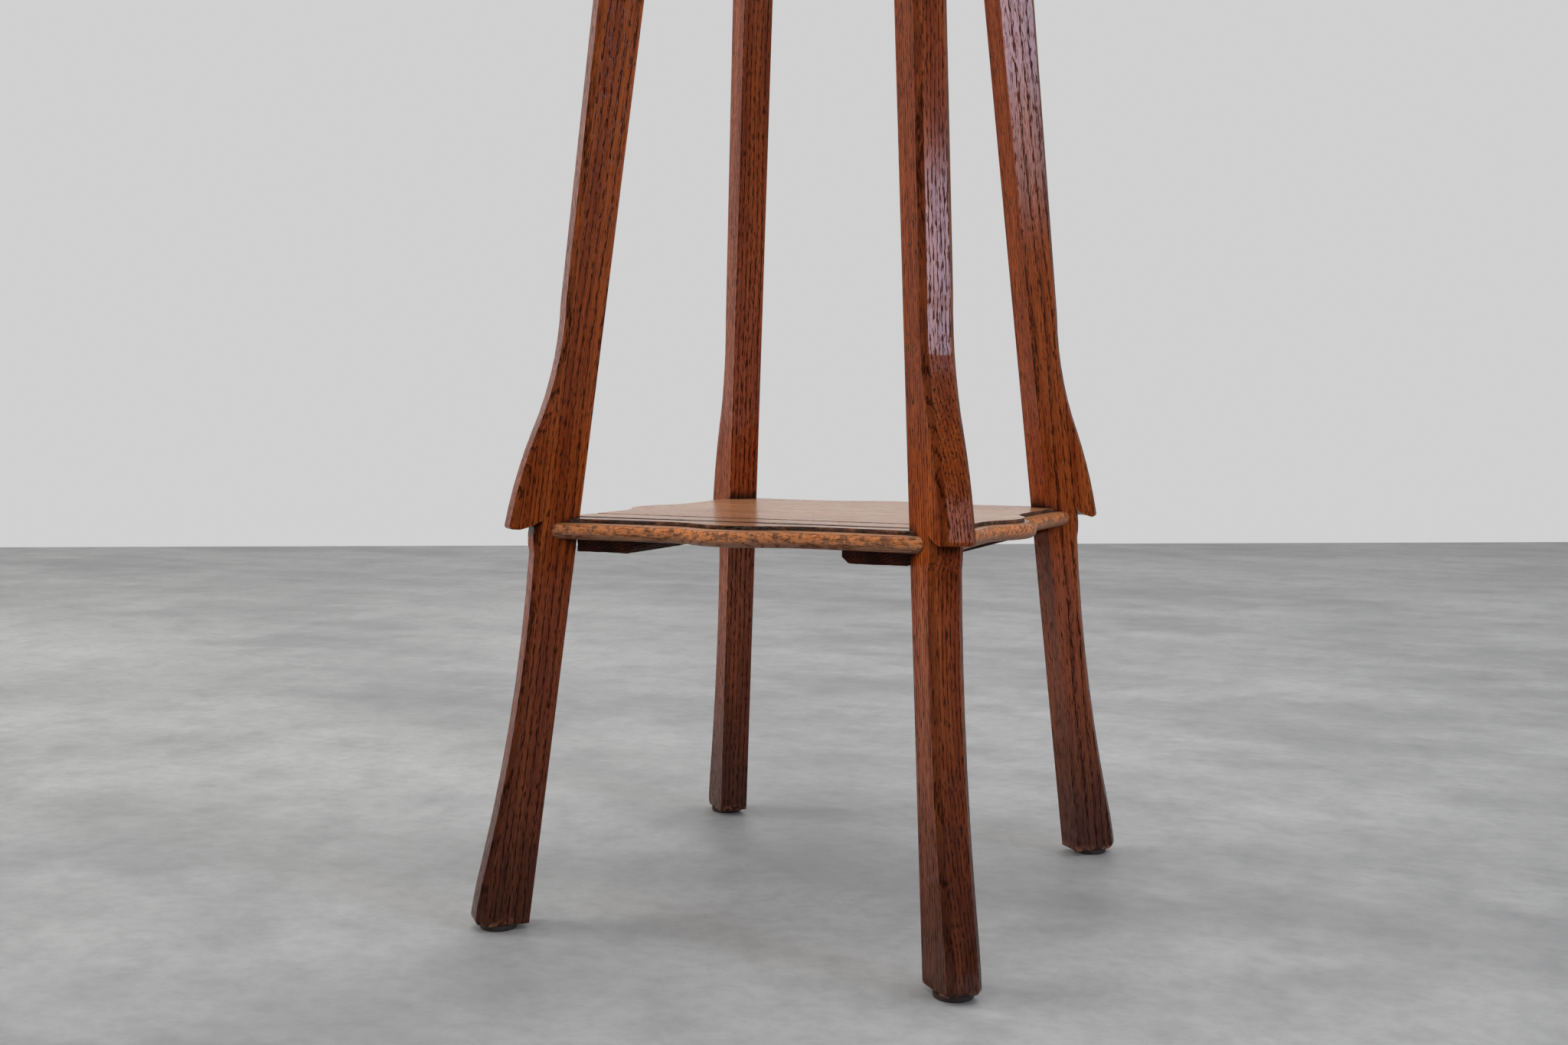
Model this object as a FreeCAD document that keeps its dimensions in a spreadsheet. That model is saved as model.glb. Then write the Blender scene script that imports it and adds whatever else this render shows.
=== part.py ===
import FreeCAD, Part
import math
import os
import Sketcher

# Tall square oak stand: four flared plank legs in the diagonal planes, a low shelf and a top with aprons.
# Millimetres, +Z up, the origin on the floor under the middle of the stand. The front is the -Y side.

os.makedirs("parts", exist_ok=True)
doc = FreeCAD.newDocument("Pedestal")
sizes = doc.addObject("Spreadsheet::Sheet", "Sizes")
V = FreeCAD.Vector
X_AXIS = V(1, 0, 0)
Z_AXIS = V(0, 0, 1)


# The sheet of sizes

def enter(alias, value, meaning):
    """Write one size into the next row of the sheet."""
    row = enter.row
    sizes.set("A%d" % row, meaning)
    sizes.set("B%d" % row, str(value))
    sizes.setAlias("B%d" % row, alias)
    enter.row += 1


def derived(alias, formula, meaning):
    """Write a size that follows from the others as a formula."""
    enter(alias, "=" + formula, meaning)


enter.row = 1

# Driving sizes

DRIVING = {
    # the whole stand
    "stand_height": 1100,  # floor to the top's upper face
    "glide_height": 4.5,  # furniture glide under each foot
    "glide_radius": 15,  # furniture glide, seen from below
    "glide_round": 1.5,  # rounded lower rim of a glide
    "top_thickness": 20,  # top boards
    "glue_gap": 0.15,  # glue line between pieces that are fitted together
    "cut_overrun": 5,  # how far a cutting shape runs past what it cuts
    # the leg plank's side profile: radii from the stand's centre line, widths outwards from the inner edge
    "leg_thickness": 28,  # plank that the legs are sawn from
    "leg_chamfer": 4.6,  # chamfer on the two outer arrises
    "foot_inner_radius": 264.5,  # inner edge at the foot
    "leg_top_inner_radius": 118,  # inner edge under the top
    "foot_width": 43.4,  # leg's width at the foot
    "foot_rise": 0.7,  # how far the foot's outer edge swells
    "ankle_climb": 50,  # from the foot to where its round meets the hollow above it
    "ankle_width": 39.5,  # leg's width there
    "calf_hollow": 5.3,  # depth of the hollow between ankle and shoulder
    "shoulder_drop": 27.5,  # where the hollow ends, below the shelf's upper face
    "shoulder_width": 32.4,  # leg's width there
    "shoulder_rise": 1.7,  # how far the shoulder under the barb swells
    "notch_drop": 1,  # inner end of the undercut below the barb, below the shelf's upper face
    "notch_width": 34.4,  # leg's width there
    "barb_drop": 8.5,  # lowest point of the barb, below the shelf's upper face
    "barb_width": 51.6,  # leg's width there
    "barb_belly": 0.9,  # how far the barb's underside swells
    "barb_tip_drop": 4.7,  # upper end of the barb's rounded tip, below the shelf's upper face
    "barb_tip_width": 55.2,  # leg's width there
    "barb_tip_round": 3,  # radius of the rounded tip
    "barb_rise": 1.8,  # how far the barb's outer edge swells
    "flare_climb": 69.5,  # where that edge meets the hollow above it, above the shelf
    "flare_width": 42.6,  # leg's width there
    "neck_hollow": 5,  # depth of that hollow
    "neck_climb": 175.5,  # where it runs out into the straight shank, above the shelf
    "neck_width": 32,  # leg's width there
    "leg_top_width": 42.2,  # leg's width under the top
    "foot_sway": 15.7,  # how far the foot stands aside of the diagonal, towards front or back
    "top_sway": 7.7,  # how far the leg's top stands aside of the diagonal, the other way
    "saw_allowance": 3,  # extra length at both ends of a leg, before they are cut level
    # the shelf
    "shelf_height": 329,  # floor to the shelf's upper face
    "shelf_thickness": 16.5,  # shelf boards
    "moulding_step": 3,  # height of the small step round the upper face
    "moulding_width": 10.5,  # from the step to the outermost line of the rounded edge
    "nosing_round": 6,  # rounding of the edge, above and below
    "shelf_reach": 27,  # how far the shelf's edge runs out along a leg's side face
    "shelf_hollow": 7,  # how far the edge draws in beside its middle swell
    "shelf_swell": 10,  # how far the middle of the edge stands out
    "shelf_hollow_place": 62,  # from the middle of a side to its deepest hollow
    "board_gap": 0.4,  # opened joint between the boards
    "front_board_width": 44.9,  # front board, from the shelf's corner to its joint
    "second_board_width": 41,  # the board behind it
    "back_board_width": 78.9,  # back board, from the shelf's corner to its joint
    # the battens under the shelf
    "batten_margin": 38.7,  # from the shelf's corner in to a batten's outer side
    "batten_width": 52,  # across a batten
    "batten_thickness": 10,  # height of a batten
    "batten_end_margin": 14.9,  # from the shelf's corner in to a batten's ends
    "batten_bevel": 5,  # bevel along its inner lower arris
    "batten_screw_in": 18,  # from a batten's end to its nearest screw
    # screws, nails and dowels
    "screw_head_radius": 4,  # countersunk wood screw
    "screw_head_depth": 2.6,  # height of its head
    "screw_shank_radius": 1.9,  # its shank
    "screw_length": 19,  # its whole length
    "screw_point": 5,  # its point
    "screw_slot_width": 0.9,  # slot in the head
    "screw_slot_depth": 1,  # depth of that slot
    "screw_clearance": 0.12,  # hole round a screw or nail
    "nail_head_radius": 4.5,  # head of a glide's nail
    "nail_head_height": 1.4,  # its height
    "nail_recess": 0.8,  # from the glide's lower face up to the nail's head
    "nail_shank_radius": 1.3,  # its shank
    "nail_length": 20,  # its whole length
    "nail_point": 4,  # its point
    "dowel_radius": 4,  # dowel between shelf and leg
    "dowel_in_shelf": 18,  # its length in the shelf
    "dowel_in_leg": 20,  # its length in the leg
    "dowel_end_room": 1,  # room at each end of a dowel or tenon
    # the top
    "top_overhang": 34,  # from an apron's face to the top's edge at a corner
    "top_hollow": 5,  # how far the top's edge draws in beside its middle swell
    "top_swell": 7,  # how far the middle of the top's edge stands out
    "top_hollow_place": 54,  # from the middle of a side to its deepest hollow
    "top_nosing_round": 7.4,  # rounding of the top's edge, above and below
    "top_board_width": 91,  # front and back boards of the top, from its corner to their joints
    # the aprons under the top
    "apron_height": 60,  # height of an apron at its ends
    "apron_thickness": 17,  # thickness of an apron
    "apron_arch": 17,  # how far its lower edge rises in the middle
    "apron_shoulder": 22,  # flat part of the lower edge beside each leg
    "tenon_thickness": 7,  # tenon of an apron
    "tenon_shoulder": 10,  # apron above and below its tenon
    "tenon_length": 13,  # how far a tenon goes into a leg, along the apron
    # the blocks behind the aprons
    "block_length": 60,  # along the apron
    "block_width": 22,  # across, against the top
    "block_height": 26,  # against the apron
    "block_chamfer": 9,  # its free arris
    "block_screw_length": 38,  # screw through a block into the top
}
for alias, value in DRIVING.items():
    enter(alias, value, alias.replace("_", " "))


# Sizes that follow from them

# the whole stand
derived("top_bottom", "stand_height - top_thickness", "top's lower face")
derived("leg_height", "top_bottom - glide_height", "foot to the underside of the top")

# the leg plank's side profile: radii are measured from the stand's centre line, heights from the foot
derived("half_leg", "leg_thickness / 2", "half the plank")
derived("half_flat", "half_leg - leg_chamfer", "half the flat of the outer edge")
derived("passage_width", "leg_thickness + 2 * glue_gap",
        "gap that a leg needs in the shelf and between the aprons")
derived("inner_slope", "(foot_inner_radius - leg_top_inner_radius) / leg_height",
        "inner edge, inwards per height")
derived("sway_slope", "(foot_sway + top_sway) / leg_height", "sideways lean, per height")
derived("shelf_level", "shelf_height - glide_height", "shelf's upper face above the foot")


def profile_point(name, height):
    """Cells for a point of the outer edge: its height above the foot and its radius there."""
    derived(name + "_height", height, "height above the foot")
    derived(name + "_radius", "foot_inner_radius - inner_slope * %s_height + %s_width" % (name, name),
            "outer edge there")


def profile_arc(name, start, end, rise):
    """Cells for the arc between two points, from how far it leaves their chord."""
    run = "(%s_radius - %s_radius)^2 + (%s_height - %s_height)^2" % (start, end, start, end)
    derived(name + "_arc", "(%s) / (8 * %s) + %s / 2" % (run, rise, rise), "radius of an arc")


profile_point("foot", "0")
profile_point("ankle", "ankle_climb")
profile_point("shoulder", "shelf_level - shoulder_drop")
profile_point("notch", "shelf_level - notch_drop")
profile_point("barb", "shelf_level - barb_drop")
profile_point("barb_tip", "shelf_level - barb_tip_drop")
profile_point("flare", "shelf_level + flare_climb")
profile_point("neck", "shelf_level + neck_climb")
profile_point("leg_top", "leg_height")
profile_arc("foot", "foot", "ankle", "foot_rise")
profile_arc("calf", "ankle", "shoulder", "calf_hollow")
profile_arc("shoulder", "shoulder", "notch", "shoulder_rise")
profile_arc("belly", "notch", "barb", "barb_belly")
profile_arc("barb", "barb_tip", "flare", "barb_rise")
profile_arc("neck", "flare", "neck", "neck_hollow")

derived("passage_end", "foot_radius + cut_overrun", "outer end of a leg's gap")
derived("shank_slope", "(neck_radius - leg_top_radius) / (leg_height - neck_height)", "shank's outer edge")
derived("leg_low", "-saw_allowance", "rough lower end")
derived("leg_high", "leg_height + saw_allowance", "rough upper end")
derived("inner_low", "foot_inner_radius + inner_slope * saw_allowance", "inner edge at the rough lower end")
derived("inner_high", "leg_top_inner_radius - inner_slope * saw_allowance",
        "inner edge at the rough upper end")
derived("outer_high", "leg_top_radius - shank_slope * saw_allowance",
        "outer edge at the rough upper end")

# the shelf
derived("shelf_bottom", "shelf_height - shelf_thickness", "shelf's lower face")
derived("shelf_sway", "sway_slope * shelf_level - foot_sway",
        "leg's place aside of the diagonal at the shelf")
derived("shelf_corner", "foot_inner_radius - inner_slope * shelf_level", "inner edge of a leg at the shelf")
derived("shelf_x", "(shelf_corner + shelf_reach + half_leg + shelf_sway) / sqrt(2)",
        "half the shelf at a corner, side to side")
derived("shelf_y", "(shelf_corner + shelf_reach + half_leg - shelf_sway) / sqrt(2)",
        "half the shelf at a corner, front to back")
derived("front_joint", "shelf_y - front_board_width", "first joint, in front of the middle")
derived("second_joint", "front_joint - second_board_width", "second joint, in front of the middle")
derived("back_joint", "shelf_y - back_board_width", "last joint, behind the middle")

# the battens under the shelf
derived("batten_top", "shelf_bottom", "battens lie against the shelf")
derived("batten_bottom", "shelf_bottom - batten_thickness", "lower face of a batten")
derived("batten_outer", "shelf_x - batten_margin", "from the middle to a batten's outer side")
derived("batten_inner", "batten_outer - batten_width", "from the middle to a batten's inner side")
derived("batten_half_length", "shelf_y - batten_end_margin", "half the length of a batten")
derived("batten_length", "2 * batten_half_length", "a batten's length")
derived("batten_screw_place", "batten_half_length - batten_screw_in", "its end screws, from its middle")
derived("batten_bevel_in", "batten_inner + batten_bevel", "bevel on a batten's lower face")
derived("batten_bevel_up", "batten_bottom + batten_bevel", "bevel on a batten's side")
derived("screw_straight", "screw_length - screw_point", "where a batten screw's point starts")

# the aprons under the top
derived("apron_bottom", "top_bottom - apron_height", "lower edge of an apron at its ends")
derived("apron_level", "top_bottom - apron_height / 2 - glide_height",
        "middle of the aprons above the foot")
derived("apron_sway", "sway_slope * apron_level - foot_sway",
        "leg's place aside of the diagonal at the aprons")
derived("leg_inner_at_apron", "foot_inner_radius - inner_slope * apron_level", "inner edge of a leg there")
derived("leg_outer_at_apron", "neck_radius - shank_slope * (apron_level - neck_height)",
        "outer edge of a leg there")
derived("apron_meets", "(leg_inner_at_apron + leg_outer_at_apron - leg_chamfer) / 2",
        "middle of its side face there")
derived("front_apron_y", "(apron_meets + half_leg - apron_sway) / sqrt(2)",
        "middle of the front and back aprons")
derived("side_apron_x", "(apron_meets + half_leg + apron_sway) / sqrt(2)", "middle of the side aprons")
derived("front_face_x", "(apron_meets - half_leg + apron_sway) / sqrt(2)",
        "where the front apron meets a leg")
derived("side_face_y", "(apron_meets - half_leg - apron_sway) / sqrt(2)", "where a side apron meets a leg")
derived("front_rail_end", "front_face_x + half_leg * sqrt(2)", "rough end of the front and back aprons")
derived("side_rail_end", "side_face_y + half_leg * sqrt(2)", "rough end of the side aprons")
derived("front_arch_end", "front_face_x - apron_shoulder", "ends of the arch in the front and back aprons")
derived("side_arch_end", "side_face_y - apron_shoulder", "ends of the arch in the side aprons")
derived("front_arch", "(front_arch_end^2 + apron_arch^2) / (2 * apron_arch)",
        "radius of that arch, front and back")
derived("side_arch", "(side_arch_end^2 + apron_arch^2) / (2 * apron_arch)",
        "radius of that arch at the sides")
derived("half_apron", "apron_thickness / 2", "half an apron's thickness")

# the top
derived("top_x", "side_apron_x + half_apron + top_overhang",
        "half the top at a corner, side to side")
derived("top_y", "front_apron_y + half_apron + top_overhang",
        "half the top at a corner, front to back")
derived("top_joint", "top_y - top_board_width", "joints of the top boards, from the middle")

# the blocks behind the aprons
derived("block_bottom", "top_bottom - block_height", "lower face of a block")
derived("block_far", "half_apron + block_width", "a block's free side, from the middle of its apron")
derived("block_slope_start", "block_far - block_chamfer", "inner end of its chamfer")
derived("block_slope_top", "block_bottom + block_chamfer", "upper end of its chamfer")
derived("block_screw_straight", "block_screw_length - screw_point", "where a block screw's point starts")

# the glides and their nails, from the floor
derived("glide_flat", "glide_radius - glide_round", "flat of a glide's lower face")
derived("nail_head_hole", "nail_head_radius + screw_clearance", "recess for a nail's head")
derived("nail_shank_hole", "nail_shank_radius + screw_clearance", "hole for a nail's shank")
derived("nail_head_top", "nail_recess + nail_head_height", "upper side of a nail's head")
derived("nail_top", "nail_recess + nail_length", "a nail's tip")
derived("nail_straight_top", "nail_top - nail_point", "where its point starts")


def moulded_edge(prefix, half_x, half_y, hollow, swell, place):
    """Cells for an outline whose four sides swell in the middle and draw in beside the swell."""
    derived(prefix + "_corner_x", half_x, "corner, side to side")
    derived(prefix + "_corner_y", half_y, "corner, front to back")
    for axis, along in (("x", "y"), ("y", "x")):
        corner = prefix + "_corner_" + axis
        derived(prefix + "_hollow_" + axis, "%s - %s" % (corner, hollow), "deepest hollow of a side")
        turn = "%s + (%s - %s) / 2" % (corner, swell, hollow)
        derived(prefix + "_turn_" + axis, turn, "between hollow and swell")
        run = "(%s_corner_%s - %s)" % (prefix, along, place)
        long_arc = "(%s^2 + %s^2) / (2 * %s)" % (run, hollow, hollow)
        derived(prefix + "_long_arc_" + axis, long_arc, "arc to the corner")
    derived(prefix + "_turn_place", place + " / 2", "place of the turn along a side")
    rise = "(%s + %s)" % (hollow, swell)
    derived(prefix + "_swell_arc", "(%s^2 + %s^2) / (4 * %s)" % (place, rise, rise), "arcs of the swell")


def moulded_outline(prefix, place):
    """Corners and edges of that outline, anticlockwise from the front right corner."""
    cx, cy = prefix + "_corner_x", prefix + "_corner_y"
    hx, hy = prefix + "_hollow_x", prefix + "_hollow_y"
    tx, ty = prefix + "_turn_x", prefix + "_turn_y"
    turn = prefix + "_turn_place"
    swell = prefix + "_swell_arc"
    corners = []
    edges = []
    for side in range(4):
        far, hollow, middle = ((cx, cy), hx, tx) if side % 2 == 0 else ((cy, cx), hy, ty)
        along = [(hollow, "-" + place), (middle, "-" + turn), (middle, turn), (hollow, place)]
        corners.append(turned((far[0], "-" + far[1]), side))
        corners.extend(turned(pair, side) for pair in along)
        long_arc = prefix + ("_long_arc_x" if side % 2 == 0 else "_long_arc_y")
        edges.extend([(long_arc, -1), (swell, -1), (swell, 1), (swell, -1), (long_arc, -1)])
    return corners, edges


def negated(term):
    return term[1:] if term.startswith("-") else "-" + term


def turned(pair, quarter_turns):
    """A pair of terms turned anticlockwise about the middle by quarter turns."""
    for _ in range(quarter_turns):
        pair = (negated(pair[1]), pair[0])
    return pair


derived("nosing_height", "shelf_thickness - moulding_step", "shelf's edge below the step")
derived("shelf_step_level", "shelf_bottom + nosing_height", "foot of the step")
derived("top_nosing_height", "top_thickness - moulding_step", "top's edge below the step")
derived("top_step_level", "top_bottom + top_nosing_height", "foot of the top's step")
moulded_edge("shelf", "shelf_x", "shelf_y", "shelf_hollow", "shelf_swell", "shelf_hollow_place")
moulded_edge("shelf_step", "shelf_x - moulding_width", "shelf_y - moulding_width",
             "shelf_hollow", "shelf_swell", "shelf_hollow_place")
moulded_edge("top", "top_x", "top_y", "top_hollow", "top_swell", "top_hollow_place")
moulded_edge("top_step", "top_x - moulding_width", "top_y - moulding_width",
             "top_hollow", "top_swell", "top_hollow_place")
doc.recompute()


def size(alias):
    """The value of a cell as a plain number."""
    value = sizes.get(alias)
    return float(getattr(value, "Value", value))


# Sketches and bodies

def number(term):
    """The value of a term: a cell's name, perhaps with a minus sign, or 0, or a tuple that is added up."""
    if isinstance(term, tuple):
        return sum(number(part) for part in term)
    if term == "0":
        return 0.0
    if term.startswith("-"):
        return -size(term[1:])
    return size(term)


def expression(term):
    if isinstance(term, tuple):
        return " + ".join("(%s)" % expression(part) for part in term)
    if term.startswith("-"):
        return "-Sizes." + term[1:]
    return "Sizes." + term


def arc_middle(start, end, radius, bulge):
    """The middle of an arc that bulges to the right (+1) or the left (-1) of the way from start to end."""
    chord = end - start
    half = chord.Length / 2
    rise = radius - math.sqrt(max(radius * radius - half * half, 0.0))
    right = V(chord.y, -chord.x, 0) / chord.Length
    return (start + end) / 2 + right * (rise * bulge)


def outline(body, name, plane, corners, edges, level=None):
    """A closed sketch. A corner is a pair of terms; an edge is None or an arc's radius cell and its bulge."""
    sketch = body.newObject("Sketcher::SketchObject", name)
    for feature in body.Origin.OriginFeatures:
        if feature.Role == plane:
            sketch.AttachmentSupport = [(feature, "")]
    sketch.MapMode = "FlatFace"
    if level:
        sketch.setExpression("AttachmentOffset.Base.z", expression(level))
    points = [V(number(a), number(b), 0) for a, b in corners]
    ends = []
    for index, edge in enumerate(edges):
        start = points[index]
        end = points[(index + 1) % len(points)]
        if edge is None:
            line = sketch.addGeometry(Part.LineSegment(start, end))
            ends.append((line, 1, 2))
            continue
        radius, bulge = edge
        middle = arc_middle(start, end, size(radius), bulge)
        arc = sketch.addGeometry(Part.Arc(start, middle, end))
        ahead = (sketch.getPoint(arc, 1) - start).Length < (sketch.getPoint(arc, 2) - start).Length
        ends.append((arc, 1, 2) if ahead else (arc, 2, 1))
    for index, (geometry, first, last) in enumerate(ends):
        following, following_first, _ = ends[(index + 1) % len(ends)]
        sketch.addConstraint(Sketcher.Constraint("Coincident", geometry, last, following, following_first))
    for index, (geometry, first, last) in enumerate(ends):
        for kind, term in zip(("DistanceX", "DistanceY"), corners[index]):
            bound = sketch.addConstraint(Sketcher.Constraint(kind, -1, 1, geometry, first, number(term)))
            if term != "0":
                sketch.setExpression("Constraints[%d]" % bound, expression(term))
        if edges[index] is not None:
            radius = edges[index][0]
            bound = sketch.addConstraint(Sketcher.Constraint("Radius", geometry, size(radius)))
            sketch.setExpression("Constraints[%d]" % bound, expression(radius))
    return sketch


def new_body(name):
    return doc.addObject("PartDesign::Body", name)


def pad(body, name, sketch, length, symmetric=False):
    feature = body.newObject("PartDesign::Pad", name)
    feature.Profile = sketch
    if symmetric:
        feature.SideType = "Symmetric"
    feature.setExpression("Length", expression(length))
    body.Tip = feature
    doc.recompute()
    return feature


def loft(body, name, sections):
    """A solid through several sketches, straight from each to the next."""
    feature = body.newObject("PartDesign::AdditiveLoft", name)
    feature.Profile = sections[0]
    feature.Sections = sections[1:]
    feature.Ruled = True
    body.Tip = feature
    doc.recompute()
    return feature


def rounded(body, name, base, edge_names, radius):
    feature = body.newObject("PartDesign::Fillet", name)
    feature.Base = (base, edge_names)
    feature.setExpression("Radius", expression(radius))
    body.Tip = feature
    doc.recompute()
    return feature


def turned_body(name, corners, edges, place):
    """A body turned about its own vertical axis from a half section on the XZ plane."""
    body = new_body(name)
    feature = body.newObject("PartDesign::Revolution", name + "_turned")
    sketch = outline(body, name + "_section", "XZ_Plane", corners, edges)
    feature.Profile = sketch
    feature.ReferenceAxis = (sketch, ["V_Axis"])
    body.Tip = feature
    body.Placement = place
    doc.recompute()
    return body


def box(name, low, high):
    """A Part::Box between two opposite corners."""
    block = doc.addObject("Part::Box", name)
    block.Length = high[0] - low[0]
    block.Width = high[1] - low[1]
    block.Height = high[2] - low[2]
    block.Placement.Base = V(*low)
    return block


def cylinder(name, radius, start, direction, length):
    rod = doc.addObject("Part::Cylinder", name)
    rod.Radius = radius
    rod.Height = length
    rod.Placement = FreeCAD.Placement(start, FreeCAD.Rotation(Z_AXIS, direction))
    return rod


def fused(name, pieces):
    union = doc.addObject("Part::MultiFuse", name)
    union.Shapes = pieces
    return union


def common(name, first, second):
    shared = doc.addObject("Part::MultiCommon", name)
    shared.Shapes = [first, second]
    return shared


def cut(name, base, tools):
    remainder = doc.addObject("Part::Cut", name)
    remainder.Base = base
    remainder.Tool = tools[0] if len(tools) == 1 else fused(name + "_tools", tools)
    return remainder


def group(name, pieces):
    bundle = doc.addObject("Part::Compound", name)
    bundle.Links = pieces
    return bundle


nodes = {}


def node(name, piece):
    """Keep a finished piece under the name of its file."""
    piece.Label = name
    nodes[name] = piece


def upright(x, y, z):
    return FreeCAD.Placement(V(x, y, z), FreeCAD.Rotation())


# Where the legs stand: one in each corner, its plank in the diagonal plane and leaning a little sideways

CORNERS = {
    "front_right": (-45, 1),
    "back_right": (45, -1),
    "back_left": (135, 1),
    "front_left": (225, -1),
}
gap = size("glue_gap")
overrun = size("cut_overrun")
foot_level = size("glide_height")
top_level = size("top_bottom")


def corner_axes(corner):
    """Outward and sideways directions of a corner, and the sign of its sway."""
    azimuth, sign = CORNERS[corner]
    angle = math.radians(azimuth)
    return V(math.cos(angle), math.sin(angle), 0), V(-math.sin(angle), math.cos(angle), 0), sign


def leg_placement(corner):
    azimuth, sign = CORNERS[corner]
    aside = corner_axes(corner)[1]
    foot = aside * (-size("foot_sway") * sign) + Z_AXIS * foot_level
    lean = FreeCAD.Rotation(X_AXIS, -sign * math.degrees(math.atan(size("sway_slope"))))
    return FreeCAD.Placement(foot, FreeCAD.Rotation(Z_AXIS, azimuth) * lean)


def leg_point(corner, radius, level):
    """A point of a leg's middle plane, from its radius and its height above the foot."""
    outward, aside, sign = corner_axes(corner)
    sway = sign * (size("sway_slope") * level - size("foot_sway"))
    return outward * radius + aside * sway + Z_AXIS * (foot_level + level)


def leg_inner(level):
    return size("foot_inner_radius") - size("inner_slope") * level


# Glides and their nails, in line with the middle of each foot

glide_places = {}
for corner in CORNERS:
    middle = leg_point(corner, (size("foot_inner_radius") + size("foot_radius")) / 2, 0)
    glide_places[corner] = upright(middle.x, middle.y, 0)

GLIDE_CORNERS = [
    ("nail_shank_hole", "nail_head_top"),
    ("nail_head_hole", "nail_head_top"),
    ("nail_head_hole", "0"),
    ("glide_flat", "0"),
    ("glide_radius", "glide_round"),
    ("glide_radius", "glide_height"),
    ("nail_shank_hole", "glide_height"),
]
GLIDE_EDGES = [None, None, None, ("glide_round", 1), None, None, None]
NAIL_CORNERS = [
    ("0", "nail_recess"),
    ("nail_head_radius", "nail_recess"),
    ("nail_head_radius", "nail_head_top"),
    ("nail_shank_radius", "nail_head_top"),
    ("nail_shank_radius", "nail_straight_top"),
    ("0", "nail_top"),
]
nails = []
for corner, place in glide_places.items():
    node("glide_" + corner, turned_body("glide_disc_" + corner, GLIDE_CORNERS, GLIDE_EDGES, place))
    nails.append(turned_body("nail_" + corner, NAIL_CORNERS, [None] * len(NAIL_CORNERS), place))
node("glide_nails", group("nails", nails))


# Aprons: rails between the legs under the top, arched below, with a tenon at each end

def passage(corner):
    """The space that a leg fills between the aprons and in the shelf, with the glue line, open outwards."""
    body = new_body("passage_" + corner)
    corners = [
        (("inner_low", "-glue_gap"), "leg_low"),
        ("passage_end", "leg_low"),
        ("passage_end", "leg_high"),
        (("inner_high", "-glue_gap"), "leg_high"),
    ]
    sketch = outline(body, "passage_side_" + corner, "XZ_Plane", corners, [None] * len(corners))
    pad(body, "passage_block_" + corner, sketch, "passage_width", symmetric=True)
    body.Placement = leg_placement(corner)
    return body


passages = {corner: passage(corner) for corner in CORNERS}

APRONS = {
    "front": ("front", 0, ("front_left", "front_right")),
    "right": ("side", 90, ("front_right", "back_right")),
    "back": ("front", 180, ("back_right", "back_left")),
    "left": ("side", 270, ("back_left", "front_left")),
}


def apron_placement(side):
    """Moves a rail drawn along X over the middle to its own side."""
    kind, turn, _ = APRONS[side]
    distance = size("front_apron_y") if kind == "front" else size("side_apron_x")
    rotation = FreeCAD.Rotation(Z_AXIS, turn)
    return FreeCAD.Placement(rotation.multVec(V(0, -distance, 0)), rotation)


def tenon(name, side, room=0.0, end_room=0.0):
    """One bar through the apron for both its tenons, with room round it where it is a mortise's shape."""
    kind = APRONS[side][0]
    face = size("front_face_x") if kind == "front" else size("side_face_y")
    half_length = face + size("tenon_length") + end_room
    half_thickness = size("tenon_thickness") / 2 + room
    low = size("apron_bottom") + size("tenon_shoulder") - room
    high = top_level - size("tenon_shoulder") + room
    bar = box(name, (-half_length, -half_thickness, low), (half_length, half_thickness, high))
    bar.Placement = apron_placement(side).multiply(bar.Placement)
    return bar


def apron(side):
    kind, _, ends = APRONS[side]
    body = new_body("rail_" + side)
    end = kind + "_rail_end"
    arch_end = kind + "_arch_end"
    corners = [
        ("-" + end, "top_bottom"),
        ("-" + end, "apron_bottom"),
        ("-" + arch_end, "apron_bottom"),
        (arch_end, "apron_bottom"),
        (end, "apron_bottom"),
        (end, "top_bottom"),
    ]
    edges = [None, None, (kind + "_arch", -1), None, None, None]
    sketch = outline(body, "rail_side_" + side, "XZ_Plane", corners, edges)
    pad(body, "rail_sawn_" + side, sketch, "apron_thickness", symmetric=True)
    body.Placement = apron_placement(side)
    fitted = cut("rail_fitted_" + side, body, [passages[corner] for corner in ends])
    return fused("rail_with_tenons_" + side, [fitted, tenon("tenon_" + side, side)])


for side in APRONS:
    node("apron_" + side, apron(side))


# Legs: the side profile at the plank's full thickness, its outer edge drawn in at both faces by the chamfer

LEG_CORNERS = [
    ("inner_low", "leg_low", False),
    ("foot_radius", "leg_low", True),
    ("foot_radius", "0", True),
    ("ankle_radius", "ankle_height", True),
    ("shoulder_radius", "shoulder_height", True),
    ("notch_radius", "notch_height", True),
    ("barb_radius", "barb_height", True),
    ("barb_tip_radius", "barb_tip_height", True),
    ("flare_radius", "flare_height", True),
    ("neck_radius", "neck_height", True),
    ("outer_high", "leg_high", True),
    ("inner_high", "leg_high", False),
]
LEG_EDGES = [
    None,
    None,
    ("foot_arc", 1),
    ("calf_arc", -1),
    ("shoulder_arc", 1),
    ("belly_arc", 1),
    ("barb_tip_round", 1),
    ("barb_arc", 1),
    ("neck_arc", -1),
    None,
    None,
    None,
]


def leg_plank(corner):
    body = new_body("plank_" + corner)
    sections = []
    for index, level in enumerate(("-half_leg", "-half_flat", "half_flat", "half_leg")):
        at_face = level.endswith("half_leg")
        corners = []
        for radius, height, outer in LEG_CORNERS:
            corners.append(((radius, "-leg_chamfer") if at_face and outer else radius, height))
        name = "profile_%s_%d" % (corner, index + 1)
        sections.append(outline(body, name, "XZ_Plane", corners, LEG_EDGES, level))
    loft(body, "chamfered_" + corner, sections)
    body.Placement = leg_placement(corner)
    return body


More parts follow.
